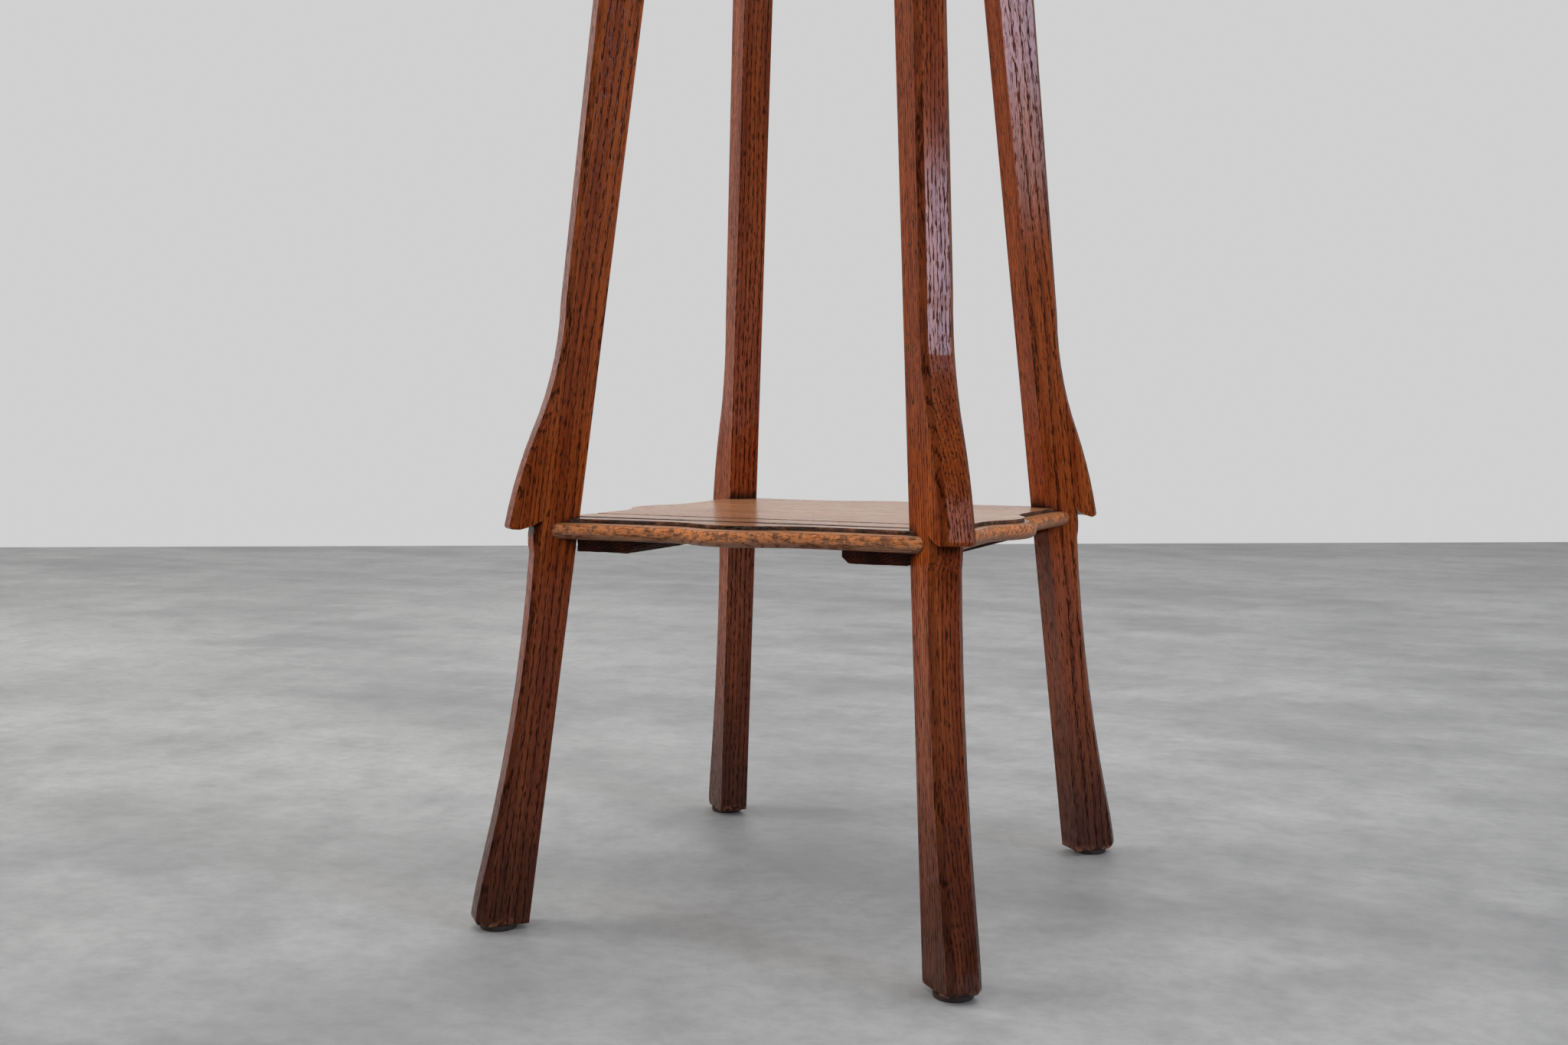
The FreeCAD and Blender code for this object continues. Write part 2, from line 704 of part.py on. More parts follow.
def dowel(name, corner, room=0.0, end_room=0.0):
    """The dowel between a leg and the shelf's corner, or the bore for it."""
    level = size("shelf_level") - size("shelf_thickness") / 2
    start = leg_point(corner, leg_inner(level) - size("dowel_in_shelf") - end_room, level)
    length = size("dowel_in_shelf") + size("dowel_in_leg") + end_room * 2
    return cylinder(name, size("dowel_radius") + room, start, corner_axes(corner)[0], length)


dowel_bores = {}
end_room = size("dowel_end_room")
for corner in CORNERS:
    node("shelf_dowel_" + corner, dowel("dowel_" + corner, corner))
    dowel_bores[corner] = dowel("dowel_bore_" + corner, corner, gap, end_room)

mortises = {side: tenon("mortise_" + side, side, gap, end_room) for side in APRONS}
reach = size("passage_end")
level_slab = box("level_slab", (-reach, -reach, foot_level), (reach, reach, top_level))
for corner in CORNERS:
    nail_place = glide_places[corner].Base
    nail_depth = size("nail_top") + end_room
    nail_bore = cylinder("nail_bore_" + corner, size("nail_shank_hole"), nail_place, Z_AXIS, nail_depth)
    tools = [dowel_bores[corner], nail_bore]
    tools += [mortises[side] for side in APRONS if corner in APRONS[side][2]]
    level_plank = common("level_plank_" + corner, leg_plank(corner), level_slab)
    node("leg_" + corner, cut("mortised_" + corner, level_plank, tools))


# Shelf and top: a blank with a moulded edge, sawn along its joints into boards

def blank(name, prefix, place, bottom, edge_height, edge_round, step_level):
    """The edge below the step, rounded above and below, and the step on it."""
    body = new_body(name)
    corners, edges = moulded_outline(prefix, place)
    sketch = outline(body, name + "_edge", "XY_Plane", corners, edges, bottom)
    slab = pad(body, name + "_slab", sketch, edge_height)
    rims = []
    for index, edge in enumerate(slab.Shape.Edges):
        if abs(edge.Vertexes[0].Z - edge.Vertexes[-1].Z) < gap:
            rims.append("Edge%d" % (index + 1))
    rounded(body, name + "_nosing", slab, rims, edge_round)
    corners, edges = moulded_outline(prefix + "_step", place)
    step = outline(body, name + "_step", "XY_Plane", corners, edges, step_level)
    pad(body, name + "_raised", step, "moulding_step")
    return body


def boards(name, whole, joints, low_level, high_level):
    """Strips of the blank between its joints, each drawn back from a joint by half the opened gap."""
    half_gap = size("board_gap") / 2
    edges = [-reach] + joints + [reach]
    strips = []
    for index in range(len(edges) - 1):
        low = edges[index] + (half_gap if index else 0)
        high = edges[index + 1] - (half_gap if index + 1 < len(edges) - 1 else 0)
        strip = box("%s_strip_%d" % (name, index + 1), (-reach, low, low_level), (reach, high, high_level))
        strips.append(common("%s_sawn_%d" % (name, index + 1), whole, strip))
    return strips


def screw(name, place, length, straight):
    """A countersunk slotted wood screw that points upwards, its head's flat at the given place."""
    corners = [
        ("0", "0"),
        ("screw_head_radius", "0"),
        ("screw_shank_radius", "screw_head_depth"),
        ("screw_shank_radius", straight),
        ("0", length),
    ]
    body = turned_body(name, corners, [None] * len(corners), place)
    across = size("screw_head_radius") + overrun
    half_width = size("screw_slot_width") / 2
    depth = size("screw_slot_depth")
    slot = box(name + "_slot", (-half_width, -across, -overrun), (half_width, across, depth))
    slot.Placement = place.multiply(slot.Placement)
    return cut(name + "_slotted", body, [slot])


def screw_hole(name, place, length):
    """The countersunk hole for such a screw."""
    wide = ("screw_head_radius", "screw_clearance")
    narrow = ("screw_shank_radius", "screw_clearance")
    corners = [
        ("0", "-cut_overrun"),
        (wide, "-cut_overrun"),
        (wide, "0"),
        (narrow, "screw_head_depth"),
        (narrow, (length, "screw_clearance")),
        ("0", (length, "screw_clearance")),
    ]
    return turned_body(name, corners, [None] * len(corners), place)


# Battens: two bevelled strips across the shelf's boards, screwed up into them

batten_screws = []
batten_holes = []
batten_middle = size("batten_inner") + size("batten_width") / 2
screw_place = size("batten_screw_place")
for side, turn in (("right", 0), ("left", 180)):
    body = new_body("batten_" + side)
    corners = [
        ("batten_inner", "batten_top"),
        ("batten_inner", "batten_bevel_up"),
        ("batten_bevel_in", "batten_bottom"),
        ("batten_outer", "batten_bottom"),
        ("batten_outer", "batten_top"),
    ]
    sketch = outline(body, "batten_end_" + side, "XZ_Plane", corners, [None] * len(corners))
    pad(body, "batten_sawn_" + side, sketch, "batten_length", symmetric=True)
    body.Placement.Rotation = FreeCAD.Rotation(Z_AXIS, turn)
    x = batten_middle if side == "right" else -batten_middle
    holes = []
    for y in (-screw_place, 0, screw_place):
        label = "%s_%d" % (side, len(holes) + 1)
        place = upright(x, y, size("batten_bottom"))
        batten_screws.append(screw("batten_screw_" + label, place, "screw_length", "screw_straight"))
        holes.append(screw_hole("batten_hole_" + label, place, "screw_length"))
    node("shelf_batten_" + side, cut("batten_drilled_" + side, body, holes))
    batten_holes += holes
node("batten_screws", group("batten_screw_set", batten_screws))


# Shelf boards: notched at the corners for the legs, drilled for the dowels and the battens' screws

shelf_blank = blank("shelf", "shelf", "shelf_hollow_place", "shelf_bottom", "nosing_height", "nosing_round",
                    "shelf_step_level")
shelf_joints = [-size("front_joint"), -size("second_joint"), size("back_joint")]
shelf_strips = boards("shelf", shelf_blank, shelf_joints,
                      size("shelf_bottom") - overrun, size("shelf_height") + overrun)
shelf_tools = list(passages.values()) + list(dowel_bores.values()) + batten_holes
for label, strip in zip(("front", "second", "third", "back"), shelf_strips):
    node("shelf_board_" + label, cut("shelf_fitted_" + label, strip, shelf_tools))


# Blocks behind the aprons, each with one screw up into the top

block_screws = []
block_holes = []
for side in APRONS:
    body = new_body("block_" + side)
    corners = [
        ("half_apron", "top_bottom"),
        ("half_apron", "block_bottom"),
        ("block_slope_start", "block_bottom"),
        ("block_far", "block_slope_top"),
        ("block_far", "top_bottom"),
    ]
    sketch = outline(body, "block_end_" + side, "YZ_Plane", corners, [None] * len(corners))
    pad(body, "block_sawn_" + side, sketch, "block_length", symmetric=True)
    body.Placement = apron_placement(side)
    screw_in = (size("half_apron") + size("block_slope_start")) / 2
    place = apron_placement(side).multiply(upright(0, screw_in, size("block_bottom")))
    block_screws.append(screw("block_screw_" + side, place, "block_screw_length", "block_screw_straight"))
    hole = screw_hole("block_hole_" + side, place, "block_screw_length")
    block_holes.append(hole)
    node("top_block_" + side, cut("block_drilled_" + side, body, [hole]))
node("top_screws", group("block_screw_set", block_screws))


# Top boards

top_blank = blank("top", "top", "top_hollow_place", "top_bottom", "top_nosing_height", "top_nosing_round",
                  "top_step_level")
top_strips = boards("top", top_blank, [-size("top_joint"), size("top_joint")],
                    top_level - overrun, size("stand_height") + overrun)
for label, strip in zip(("front", "middle", "back"), top_strips):
    node("top_board_" + label, cut("top_drilled_" + label, strip, block_holes))


# Check every piece, then write it

doc.recompute()
for item in doc.Objects:
    if "Invalid" in item.State or "Error" in item.State:
        raise RuntimeError("%s is in state %s" % (item.Name, item.State))
for name, piece in nodes.items():
    if piece.Shape.isNull() or not piece.Shape.isValid():
        raise RuntimeError("%s has no valid shape" % name)
for name, piece in nodes.items():
    piece.Shape.exportStep("parts/%s.step" % name)
    print("%-26s %d solid(s), %9.0f mm3" % (name, len(piece.Shape.Solids), piece.Shape.Volume))
whole = FreeCAD.BoundBox()
for piece in nodes.values():
    whole.add(piece.Shape.BoundBox)
print("%d nodes, %.1f x %.1f x %.1f mm" % (len(nodes), whole.XLength, whole.YLength, whole.ZLength))
print("lowest %.3f, middle %.3f %.3f" % (whole.ZMin, whole.Center.x, whole.Center.y))
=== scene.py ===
# %% [markdown]
# An old oak stand in a bright room
#
# The stand has four flared plank legs, a low shelf and a top. Its solids come from the CAD model, which is
# loaded here as a fixed frame. This notebook gives them worn arrises, wood grain and stain, and a room to
# stand in. Everything is in metres, +Z is up and the front of the stand is the -Y side.

# %% Load the frame
import math

import bmesh
import bpy
from mathutils import Matrix, Vector, noise


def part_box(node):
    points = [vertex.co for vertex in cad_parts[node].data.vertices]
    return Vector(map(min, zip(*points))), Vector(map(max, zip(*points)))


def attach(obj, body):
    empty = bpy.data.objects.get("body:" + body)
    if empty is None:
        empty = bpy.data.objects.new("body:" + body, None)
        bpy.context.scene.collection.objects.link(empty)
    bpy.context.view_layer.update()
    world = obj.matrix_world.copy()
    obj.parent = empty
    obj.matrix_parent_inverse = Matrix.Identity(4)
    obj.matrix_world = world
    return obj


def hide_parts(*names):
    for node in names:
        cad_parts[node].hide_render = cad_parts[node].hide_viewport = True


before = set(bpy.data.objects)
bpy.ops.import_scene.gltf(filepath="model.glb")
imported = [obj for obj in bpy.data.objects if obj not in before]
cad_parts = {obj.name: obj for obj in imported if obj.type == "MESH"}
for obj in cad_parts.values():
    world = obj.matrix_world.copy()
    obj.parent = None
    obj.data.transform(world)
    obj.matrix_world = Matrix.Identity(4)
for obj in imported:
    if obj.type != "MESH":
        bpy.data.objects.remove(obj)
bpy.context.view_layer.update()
MM = 0.001
X, Y, Z = Vector((1, 0, 0)), Vector((0, 1, 0)), Vector((0, 0, 1))
SHELF_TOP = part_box("shelf_board_front")[1].z
print("the shelf's upper face lies at", round(SHELF_TOP, 4), "m")

# %% [markdown]
# The camera stands low, in front and to the right, and looks slightly down. Its place and angles were worked
# out from the legs' outlines, so a silhouette in the render lands on the same pixel as in the photograph.
# Three axes are built from the angles, which avoids any guess about Euler order: first the level direction,
# then the tilt, and last the small roll to one side.

# %% The camera's axes
YAW, PITCH, ROLL = (math.radians(angle) for angle in (23.442, 3.889, 0.339))

level_right = Vector((math.cos(YAW), math.sin(YAW), 0))
level_ahead = Vector((-math.sin(YAW), math.cos(YAW), 0))
forward = level_ahead * math.cos(PITCH) - Z * math.sin(PITCH)
level_up = level_right.cross(forward)
right = level_right * math.cos(ROLL) + level_up * math.sin(ROLL)
up = level_up * math.cos(ROLL) - level_right * math.sin(ROLL)
print("camera looks along", [round(v, 3) for v in forward])

# %% [markdown]
# Blender's camera looks along its own -Z axis with +Y upwards, so the three axes go into the columns of its
# matrix. The Standard view shows a colour as it is written, which suits a plain photograph of an object.

# %% The camera
LENS = 37.69
CAMERA_PLACE = Vector((0.5345, -1.3140, 0.4161))
NEAREST_SEEN = 0.05

camera = bpy.data.objects.new("camera", bpy.data.cameras.new("camera"))
bpy.context.scene.collection.objects.link(camera)
camera.data.lens = LENS
camera.data.clip_start = NEAREST_SEEN
axes = Matrix((right, up, -forward)).transposed().to_4x4()
camera.matrix_world = Matrix.Translation(CAMERA_PLACE) @ axes
bpy.context.scene.camera = camera
bpy.context.scene.view_settings.view_transform = "Standard"
print("camera stands", round(CAMERA_PLACE.xy.length, 3), "m from the stand's centre line")

# %% [markdown]
# A screen gives a colour as three numbers from 0 to 255, on a curve that suits the eye. Shaders add and
# multiply light, so Blender wants the same colour on a straight scale. This helper turns one into the other.

# %% Colours from 0 to 255
def srgb(red, green, blue):
    """A colour as a screen shows it, 0 to 255, turned into Blender's linear values."""
    linear = []
    for value in (red, green, blue):
        share = value / 255
        linear.append(share / 12.92 if share <= 0.04045 else ((share + 0.055) / 1.055) ** 2.4)
    return (*linear, 1.0)


print("white is", srgb(255, 255, 255)[0])

# %% [markdown]
# A node material is a small recipe: coordinates go in, patterns are mixed, and a shader comes out. Wiring
# each node by hand makes long cells, so this helper adds a node, feeds its inputs and hands back a socket.
# The world is made of nodes too, and uses the same helper.

# %% A helper for node recipes
class Recipe:
    """Short calls that add nodes to a material or a world. Each returns the output socket to use next."""

    def __init__(self, owner):
        self.owner = owner
        owner.use_nodes = True
        self.tree = owner.node_tree
        self.tree.nodes.clear()

    def add(self, kind, inputs, output=0, **settings):
        node = self.tree.nodes.new("ShaderNode" + kind)
        for key, value in settings.items():
            setattr(node, key, value)
        for key, value in inputs.items():
            if isinstance(value, bpy.types.NodeSocket):
                self.tree.links.new(value, node.inputs[key])
            else:
                node.inputs[key].default_value = value
        return node.outputs[output]

    def sum(self, a, b, operation="ADD"):
        return self.add("Math", {0: a, 1: b}, operation=operation)

    def product(self, a, b):
        return self.sum(a, b, "MULTIPLY")

    def scaled(self, vector, factors):
        return self.add("VectorMath", {0: vector, 1: factors}, operation="MULTIPLY")

    def cloud(self, vector, cells, detail=2.0, rough=0.5):
        """Noise from 0 to 1 with so many cells per metre along each axis."""
        inputs = {"Vector": self.scaled(vector, cells), "Scale": 1.0, "Detail": detail, "Roughness": rough}
        return self.add("TexNoise", inputs)

    def ease(self, value, start, end, low=0.0, high=1.0):
        """Runs smoothly from low to high while the value goes from start to end."""
        inputs = {"Value": value, "From Min": start, "From Max": end, "To Min": low, "To Max": high}
        return self.add("MapRange", inputs, interpolation_type="SMOOTHSTEP")

    def marks(self, vector, cells, start, end, low=0.0, high=1.0, detail=2.0, rough=0.5):
        """A cloud turned into marks: low where it is below start, high where it is above end."""
        return self.ease(self.cloud(vector, cells, detail, rough), start, end, low, high)

    def blend(self, share, first, second):
        inputs = {0: share, 6: first, 7: second}
        return self.add("Mix", inputs, output=2, data_type="RGBA", blend_type="MIX")

    def tint(self, colour, where, strength, paint):
        """Lays a paint over a colour where a pattern says, at a strength."""
        return self.blend(self.product(where, strength), colour, paint)

    def finish(self, shader):
        kind = "World" if isinstance(self.owner, bpy.types.World) else "Material"
        output = self.tree.nodes.new("ShaderNodeOutput" + kind)
        self.tree.links.new(shader, output.inputs["Surface"])
        return self.owner


print("recipe calls", [name for name in vars(Recipe) if not name.startswith("_")])

# %% [markdown]
# Oak shows three things at once. Growth rings are thin shells round the heart of the tree, so a board cut
# from it shows lines or arches. In each ring the spring wood has large open pores, which on a long face look
# like dark dashes. Between them runs fine straight fibre. One solid 3-D pattern gives all of it, and it turns
# into dots and curved lines by itself where a board's end grain shows. It reads an attribute called grain,
# which holds each point's place in its plank: along the fibre, across the width and through the thickness.

# %% The pattern of oak
SWAY = {"cells": (3.0, 16.0, 16.0), "detail": 2.0}
DASHES = {"cells": (120.0, 1300.0, 1300.0), "detail": 1.0}
FIBRE = {"cells": (13.0, 700.0, 700.0), "detail": 3.0, "rough": 0.65}
SPRING_RISE, SPRING_END = 0.1, 0.55  # shares of a ring
SPRING_PORES = 0.17
PORE_START, PORE_FULL = 0.58, 0.68


def oak_pattern(recipe, grain, ring_gap, wave):
    """Sockets for pores, fibre and spring wood, each 0 to 1, for grain coordinates in metres."""
    sway = recipe.cloud(grain, **SWAY)
    from_heart = recipe.scaled(grain, (0.0, 1.0, 1.0))
    across = recipe.add("VectorMath", {0: from_heart}, output=1, operation="LENGTH")
    radius = recipe.sum(across, recipe.product(recipe.sum(sway, -0.5), wave))
    year = recipe.sum(recipe.product(radius, 1.0 / ring_gap), 1.0, "FLOORED_MODULO")
    falling = recipe.ease(year, SPRING_END, SPRING_RISE)
    spring_wood = recipe.product(falling, recipe.ease(year, 0.0, SPRING_RISE))
    dashes = recipe.sum(recipe.cloud(grain, **DASHES), recipe.product(spring_wood, SPRING_PORES))
    pores = recipe.ease(dashes, PORE_START, PORE_FULL)
    return pores, recipe.cloud(grain, **FIBRE), spring_wood


dash_length, dash_width = (1 / DASHES["cells"][axis] / MM for axis in (0, 1))
print("pores are about %.0f mm long and %.1f mm wide" % (dash_length, dash_width))

# %% [markdown]
# The finish over the wood is a brown-red stain under wax. Stain soaks in unevenly: it follows the fibre in
# streaks, and lies deeper in soft spring wood. So a middle, a light and a dark colour are mixed, with
# patterns of different sizes that say where each of them shows.

# %% Stain that follows the fibre
STREAKS = {"cells": (2.2, 95.0, 95.0), "detail": 3.0, "rough": 0.6, "start": 0.34, "end": 0.66}
PATCHES = {"cells": (9.0, 9.0, 5.0), "detail": 3.0, "rough": 0.6}
PATCH_START, PATCH_FULL, PATCH_SHARE = 0.45, 0.70, 0.30
FIBRE_START, FIBRE_FULL, FIBRE_SHARE = 0.44, 0.64, 0.50
RING_SHARE = 0.22


def stain(recipe, grain, patches, fibre, spring_wood, paints):
    """The colour of stained wood, before pores, wear and dirt."""
    light, mid, dark = paints[:3]
    colour = recipe.blend(recipe.marks(grain, **STREAKS), mid, light)
    colour = recipe.tint(colour, recipe.ease(patches, PATCH_START, PATCH_FULL), PATCH_SHARE, dark)
    colour = recipe.tint(colour, recipe.ease(fibre, FIBRE_START, FIBRE_FULL), FIBRE_SHARE, dark)
    return recipe.tint(colour, spring_wood, RING_SHARE, dark)


print("streaks are about %.0f mm wide" % (1 / STREAKS["cells"][1] / MM))

# %% [markdown]
# Along every arris the stain is rubbed off in places. A bevel node gives a normal that bends near an edge, so
# where it differs from the true normal there is an arris. A cloud breaks the rubbed line up.

# %% Rubbed arrises
ARRIS_REACH = 1.5 * MM
ARRIS_START, ARRIS_FULL = 0.985, 0.90  # cosines between the true normal and the bent one
BEVEL_RAYS = 4
RUBBED = {"cells": (60.0, 60.0, 35.0), "detail": 3.0, "start": 0.35, "end": 0.60}


def rub_arrises(recipe, colour, place, normal, wear, worn_and_highlight):
    soft = recipe.add("Bevel", {"Radius": ARRIS_REACH}, samples=BEVEL_RAYS)
    agreement = recipe.add("VectorMath", {0: normal, 1: soft}, output=1, operation="DOT_PRODUCT")
    arris = recipe.ease(agreement, ARRIS_START, ARRIS_FULL)
    return recipe.tint(colour, recipe.product(arris, recipe.marks(place, **RUBBED)), wear, worn_and_highlight)


print("arrises are rubbed", ARRIS_REACH / MM, "mm wide")

# %% [markdown]
# The rounded edges and undersides of shelf and top get painted shade, which makes them darker than their
# upper faces. Small spots on the edges are knocked bare, and their light paint also stands in for highlights,
# so they are partly wear and partly painted highlight. To find them it is enough to ask how far the surface
# faces up, because their upper faces are level.

# %% Knocked edges, painted shade and painted highlights
SIDE_START, SIDE_FULL = 0.95, 0.65  # how far up a surface faces, from -1 to 1
BELOW_FULL, BELOW_END = -0.55, 0.25
# painted shade on edges and undersides; the knocks are worn spots and painted highlights
EDGE_SHADE = 0.75
KNOCKS_AND_HIGHLIGHTS = {"cells": (170.0, 170.0, 170.0), "detail": 4.0, "rough": 0.65,
          "start": 0.42, "end": 0.54, "low": 0.05}


def shade_and_knock_edge(recipe, colour, place, normal, edge_wear_and_highlight, dark, worn_and_highlight):
    """The colour with painted shade on edge and undersides and worn spots that are also painted highlights,
    and a socket that is 0 on upper faces and 1 on edges and undersides.
    """
    facing_up = recipe.add("SeparateXYZ", {0: normal}, output="Z")
    side = recipe.ease(facing_up, SIDE_START, SIDE_FULL)
    colour = recipe.tint(colour, side, EDGE_SHADE, dark)
    spots = recipe.product(side, recipe.marks(place, **KNOCKS_AND_HIGHLIGHTS))
    spots = recipe.product(spots, recipe.ease(facing_up, BELOW_FULL, BELOW_END))
    return recipe.tint(colour, spots, edge_wear_and_highlight, worn_and_highlight), side


print("knocks are about %.0f mm wide" % (1 / KNOCKS_AND_HIGHLIGHTS["cells"][0] / MM))

# %% [markdown]
# Dirt and old wax gather in the joints between boards, which are known from the shape. The chamfers of the
# legs get painted shade, and the small step round the upper face gets painted shade and dirt, and these are
# known from the shape too. All of it is written on the faces as an attribute. Corners get painted shade,
# which an ambient occlusion node finds by asking how much of the open room a point sees. Clouds break both
# up.

# %% Dirt in joints, painted shade on faces and in corners
# a dark brown for dirt, for painted shade, and for the darker feet
DIRT_AND_SHADE_BROWN = srgb(30, 11, 6)
BROKEN = {"cells": (70.0, 70.0, 40.0), "detail": 4.0, "rough": 0.65, "start": 0.34, "end": 0.60, "low": 0.35}
SHADE_BREAKUP = {"cells": (150.0, 150.0, 90.0), "detail": 3.0}
SHADE_BREAKUP_SHARE = 0.3
SKY_RAYS = 6
CORNER_START, CORNER_FULL = 1.02, 0.60


# dirt in the joints and painted shade on the chamfers and the step, as the attribute says, broken up by a
# cloud
def lay_dirt(recipe, colour, place):
    dirt = recipe.add("Attribute", {}, output="Fac", attribute_name="dirt")
    return recipe.tint(colour, dirt, recipe.marks(place, **BROKEN), DIRT_AND_SHADE_BROWN)


# painted shade in corners: darker where an ambient occlusion node sees little of the open room, broken up by
# a cloud
def paint_corner_shade(recipe, colour, place, corner_shade, reach):
    open_sky = recipe.add("AmbientOcclusion", {"Distance": reach}, output="AO", samples=SKY_RAYS)
    uneven_sky = recipe.sum(open_sky, recipe.product(recipe.cloud(place, **SHADE_BREAKUP), SHADE_BREAKUP_SHARE))
    return recipe.tint(colour, recipe.ease(uneven_sky, CORNER_START, CORNER_FULL), corner_shade, DIRT_AND_SHADE_BROWN)


print("dirt is broken up every %.0f mm" % (1 / BROKEN["cells"][0] / MM))

# %% [markdown]
# The legs grow darker towards the floor, with a ragged upper limit. Mops and shoes have chipped the stain
# off the lowest few millimetres. Both depend on the height alone, with a cloud to make them uneven.

# %% Darkened and scuffed feet
FOOT_PLAIN, FOOT_DARKEST = 0.36, 0.05
RAGGED = {"cells": (9.0, 60.0, 60.0), "detail": 4.0}
RAGGED_HEIGHT = 0.12
SCUFFS = {"cells": (190.0, 190.0, 190.0), "detail": 4.0, "rough": 0.6, "start": 0.50, "end": 0.60}
SCUFF_END, SCUFF_FULL, SCUFF_SHARE = 12 * MM, 4 * MM, 0.40


def darken_foot(recipe, colour, grain, place, height, strength, worn_and_highlight):
    ragged = recipe.sum(height, recipe.product(recipe.cloud(grain, **RAGGED), RAGGED_HEIGHT))
    colour = recipe.tint(colour, recipe.ease(ragged, FOOT_PLAIN, FOOT_DARKEST), strength, DIRT_AND_SHADE_BROWN)
    rim = recipe.product(recipe.ease(height, SCUFF_END, SCUFF_FULL), recipe.marks(place, **SCUFFS))
    return recipe.tint(colour, rim, SCUFF_SHARE, worn_and_highlight)


print("feet are scuffed up to %.0f mm" % (SCUFF_END / MM))

# %% [markdown]
# Wax makes the flat wood between the pores shine, while the pores stay dull and a little deeper. So the shine
# falls where the pores are, and a bump node sinks them. Round the barbs, where no cloth polishes them, the
# legs are duller.

# %% Wax
PORE_DEPTH = 0.2 * MM
FIBRE_RELIEF = 0.35
PORE_ROUGH, PATCH_ROUGH, EDGE_ROUGH = 0.2, 0.12, 0.2
SHINY_GRAIN, DULL_GRAIN = 0.25, 1.0
DULL_SHARE = 0.15
BARB_MIDDLE = SHELF_TOP + 16 * MM
BARB_DULL_REACH, BARB_SHINY_FROM = 30 * MM, 90 * MM


def wax_relief(recipe, pores, fibre, strength):
    relief = recipe.sum(recipe.product(pores, -1.0), recipe.product(fibre, FIBRE_RELIEF))
    return recipe.add("Bump", {"Strength": strength, "Distance": PORE_DEPTH, "Height": relief})


def wax_roughness(recipe, pores, patches, gloss):
    uneven = recipe.product(recipe.sum(patches, -0.5), PATCH_ROUGH)
    return recipe.sum(recipe.sum(recipe.product(pores, PORE_ROUGH), uneven), gloss)


def wax_shine(recipe, pores, fibre, height, shine, barb_dull):
    grain_depth = recipe.sum(pores, recipe.product(fibre, 0.5))
    waxed = recipe.ease(grain_depth, SHINY_GRAIN, DULL_GRAIN, shine, DULL_SHARE * shine)
    if barb_dull:
        from_barb = recipe.add("Math", {0: recipe.sum(height, -BARB_MIDDLE)}, operation="ABSOLUTE")
        polish = recipe.ease(from_barb, BARB_DULL_REACH, BARB_SHINY_FROM, 1.0 - barb_dull, 1.0)
        waxed = recipe.product(waxed, polish)
    return waxed


print("wax is dullest at", round(BARB_MIDDLE, 3), "m")

# %% [markdown]
# Now the layers go on, each over the ones before it: stain, the rounded edge with painted shade and with worn
# spots that are also painted highlights, the rubbed arrises, the pores, which stay open where the stain is
# worn off, then dirt in the joints with painted shade on chamfers and steps, painted shade in the corners and
# feet that grow darker towards the floor. Wax doesn't change the colour. It sets how rough and how shiny the
# surface is.

# %% Stained oak from its layers
PORE_BROWN = srgb(30, 12, 6)
EDGE_PORES = 0.25


def stained_oak(name, paints, ring_gap=2.6 * MM, wave=6 * MM, pore_share=0.9, corner_shade=0.95,
                corner_shade_reach=8 * MM, wear=0.40, gloss=0.13, foot_darkening=0.0, edge_wear_and_highlight=0.0,
                shine=0.32, relief_strength=0.28, barb_dull=0.0):
    """Oak with stain, wax, painted shade and painted highlights. paints are its light, middle and dark colour
    and that of rubbed arrises, which also paints highlights on knocked edges.
    """
    recipe = Recipe(bpy.data.materials.new(name))
    grain = recipe.add("Attribute", {}, output="Vector", attribute_name="grain")
    place = recipe.add("TexCoord", {}, output="Object")
    normal = recipe.add("NewGeometry", {}, output="Normal")
    height = recipe.add("SeparateXYZ", {0: place}, output="Z")
    dark, worn_and_highlight = paints[2:]
    pores, fibre, spring_wood = oak_pattern(recipe, grain, ring_gap, wave)
    patches = recipe.cloud(place, **PATCHES)

    colour = stain(recipe, grain, patches, fibre, spring_wood, paints)
    rough = wax_roughness(recipe, pores, patches, gloss)
    # painted shade on the rounded edges and undersides, and worn spots that are also painted highlights
    if edge_wear_and_highlight:
        colour, side = shade_and_knock_edge(recipe, colour, place, normal, edge_wear_and_highlight, dark, worn_and_highlight)
        rough = recipe.sum(rough, recipe.product(side, EDGE_ROUGH))
        pore_share = recipe.sum(pore_share, recipe.product(side, EDGE_PORES))
    colour = rub_arrises(recipe, colour, place, normal, wear, worn_and_highlight)
    colour = recipe.tint(colour, pores, pore_share, PORE_BROWN)
    # dirt in the joints and painted shade on chamfers and steps, then painted shade in corners
    colour = lay_dirt(recipe, colour, place)
    colour = paint_corner_shade(recipe, colour, place, corner_shade, corner_shade_reach)
    if foot_darkening:
        colour = darken_foot(recipe, colour, grain, place, height, foot_darkening, worn_and_highlight)

    bump = wax_relief(recipe, pores, fibre, relief_strength)
    waxed = wax_shine(recipe, pores, fibre, height, shine, barb_dull)
    inputs = {"Base Color": colour, "Roughness": rough, "Normal": bump, "Specular IOR Level": waxed}
    return recipe.finish(recipe.add("BsdfPrincipled", inputs))


print("pores are", [round(value, 4) for value in PORE_BROWN[:3]])

# %% [markdown]
# One function serves all the woods of the stand. The legs are red-brown with open pores, and the aprons are
# much like them. The shelf is paler and smoother, with a strongly worn edge that has painted shade and
# painted highlights, and the top lies between the two. The battens are rough from the saw, and the hidden
# glue blocks are raw pine, with hardly any pores.

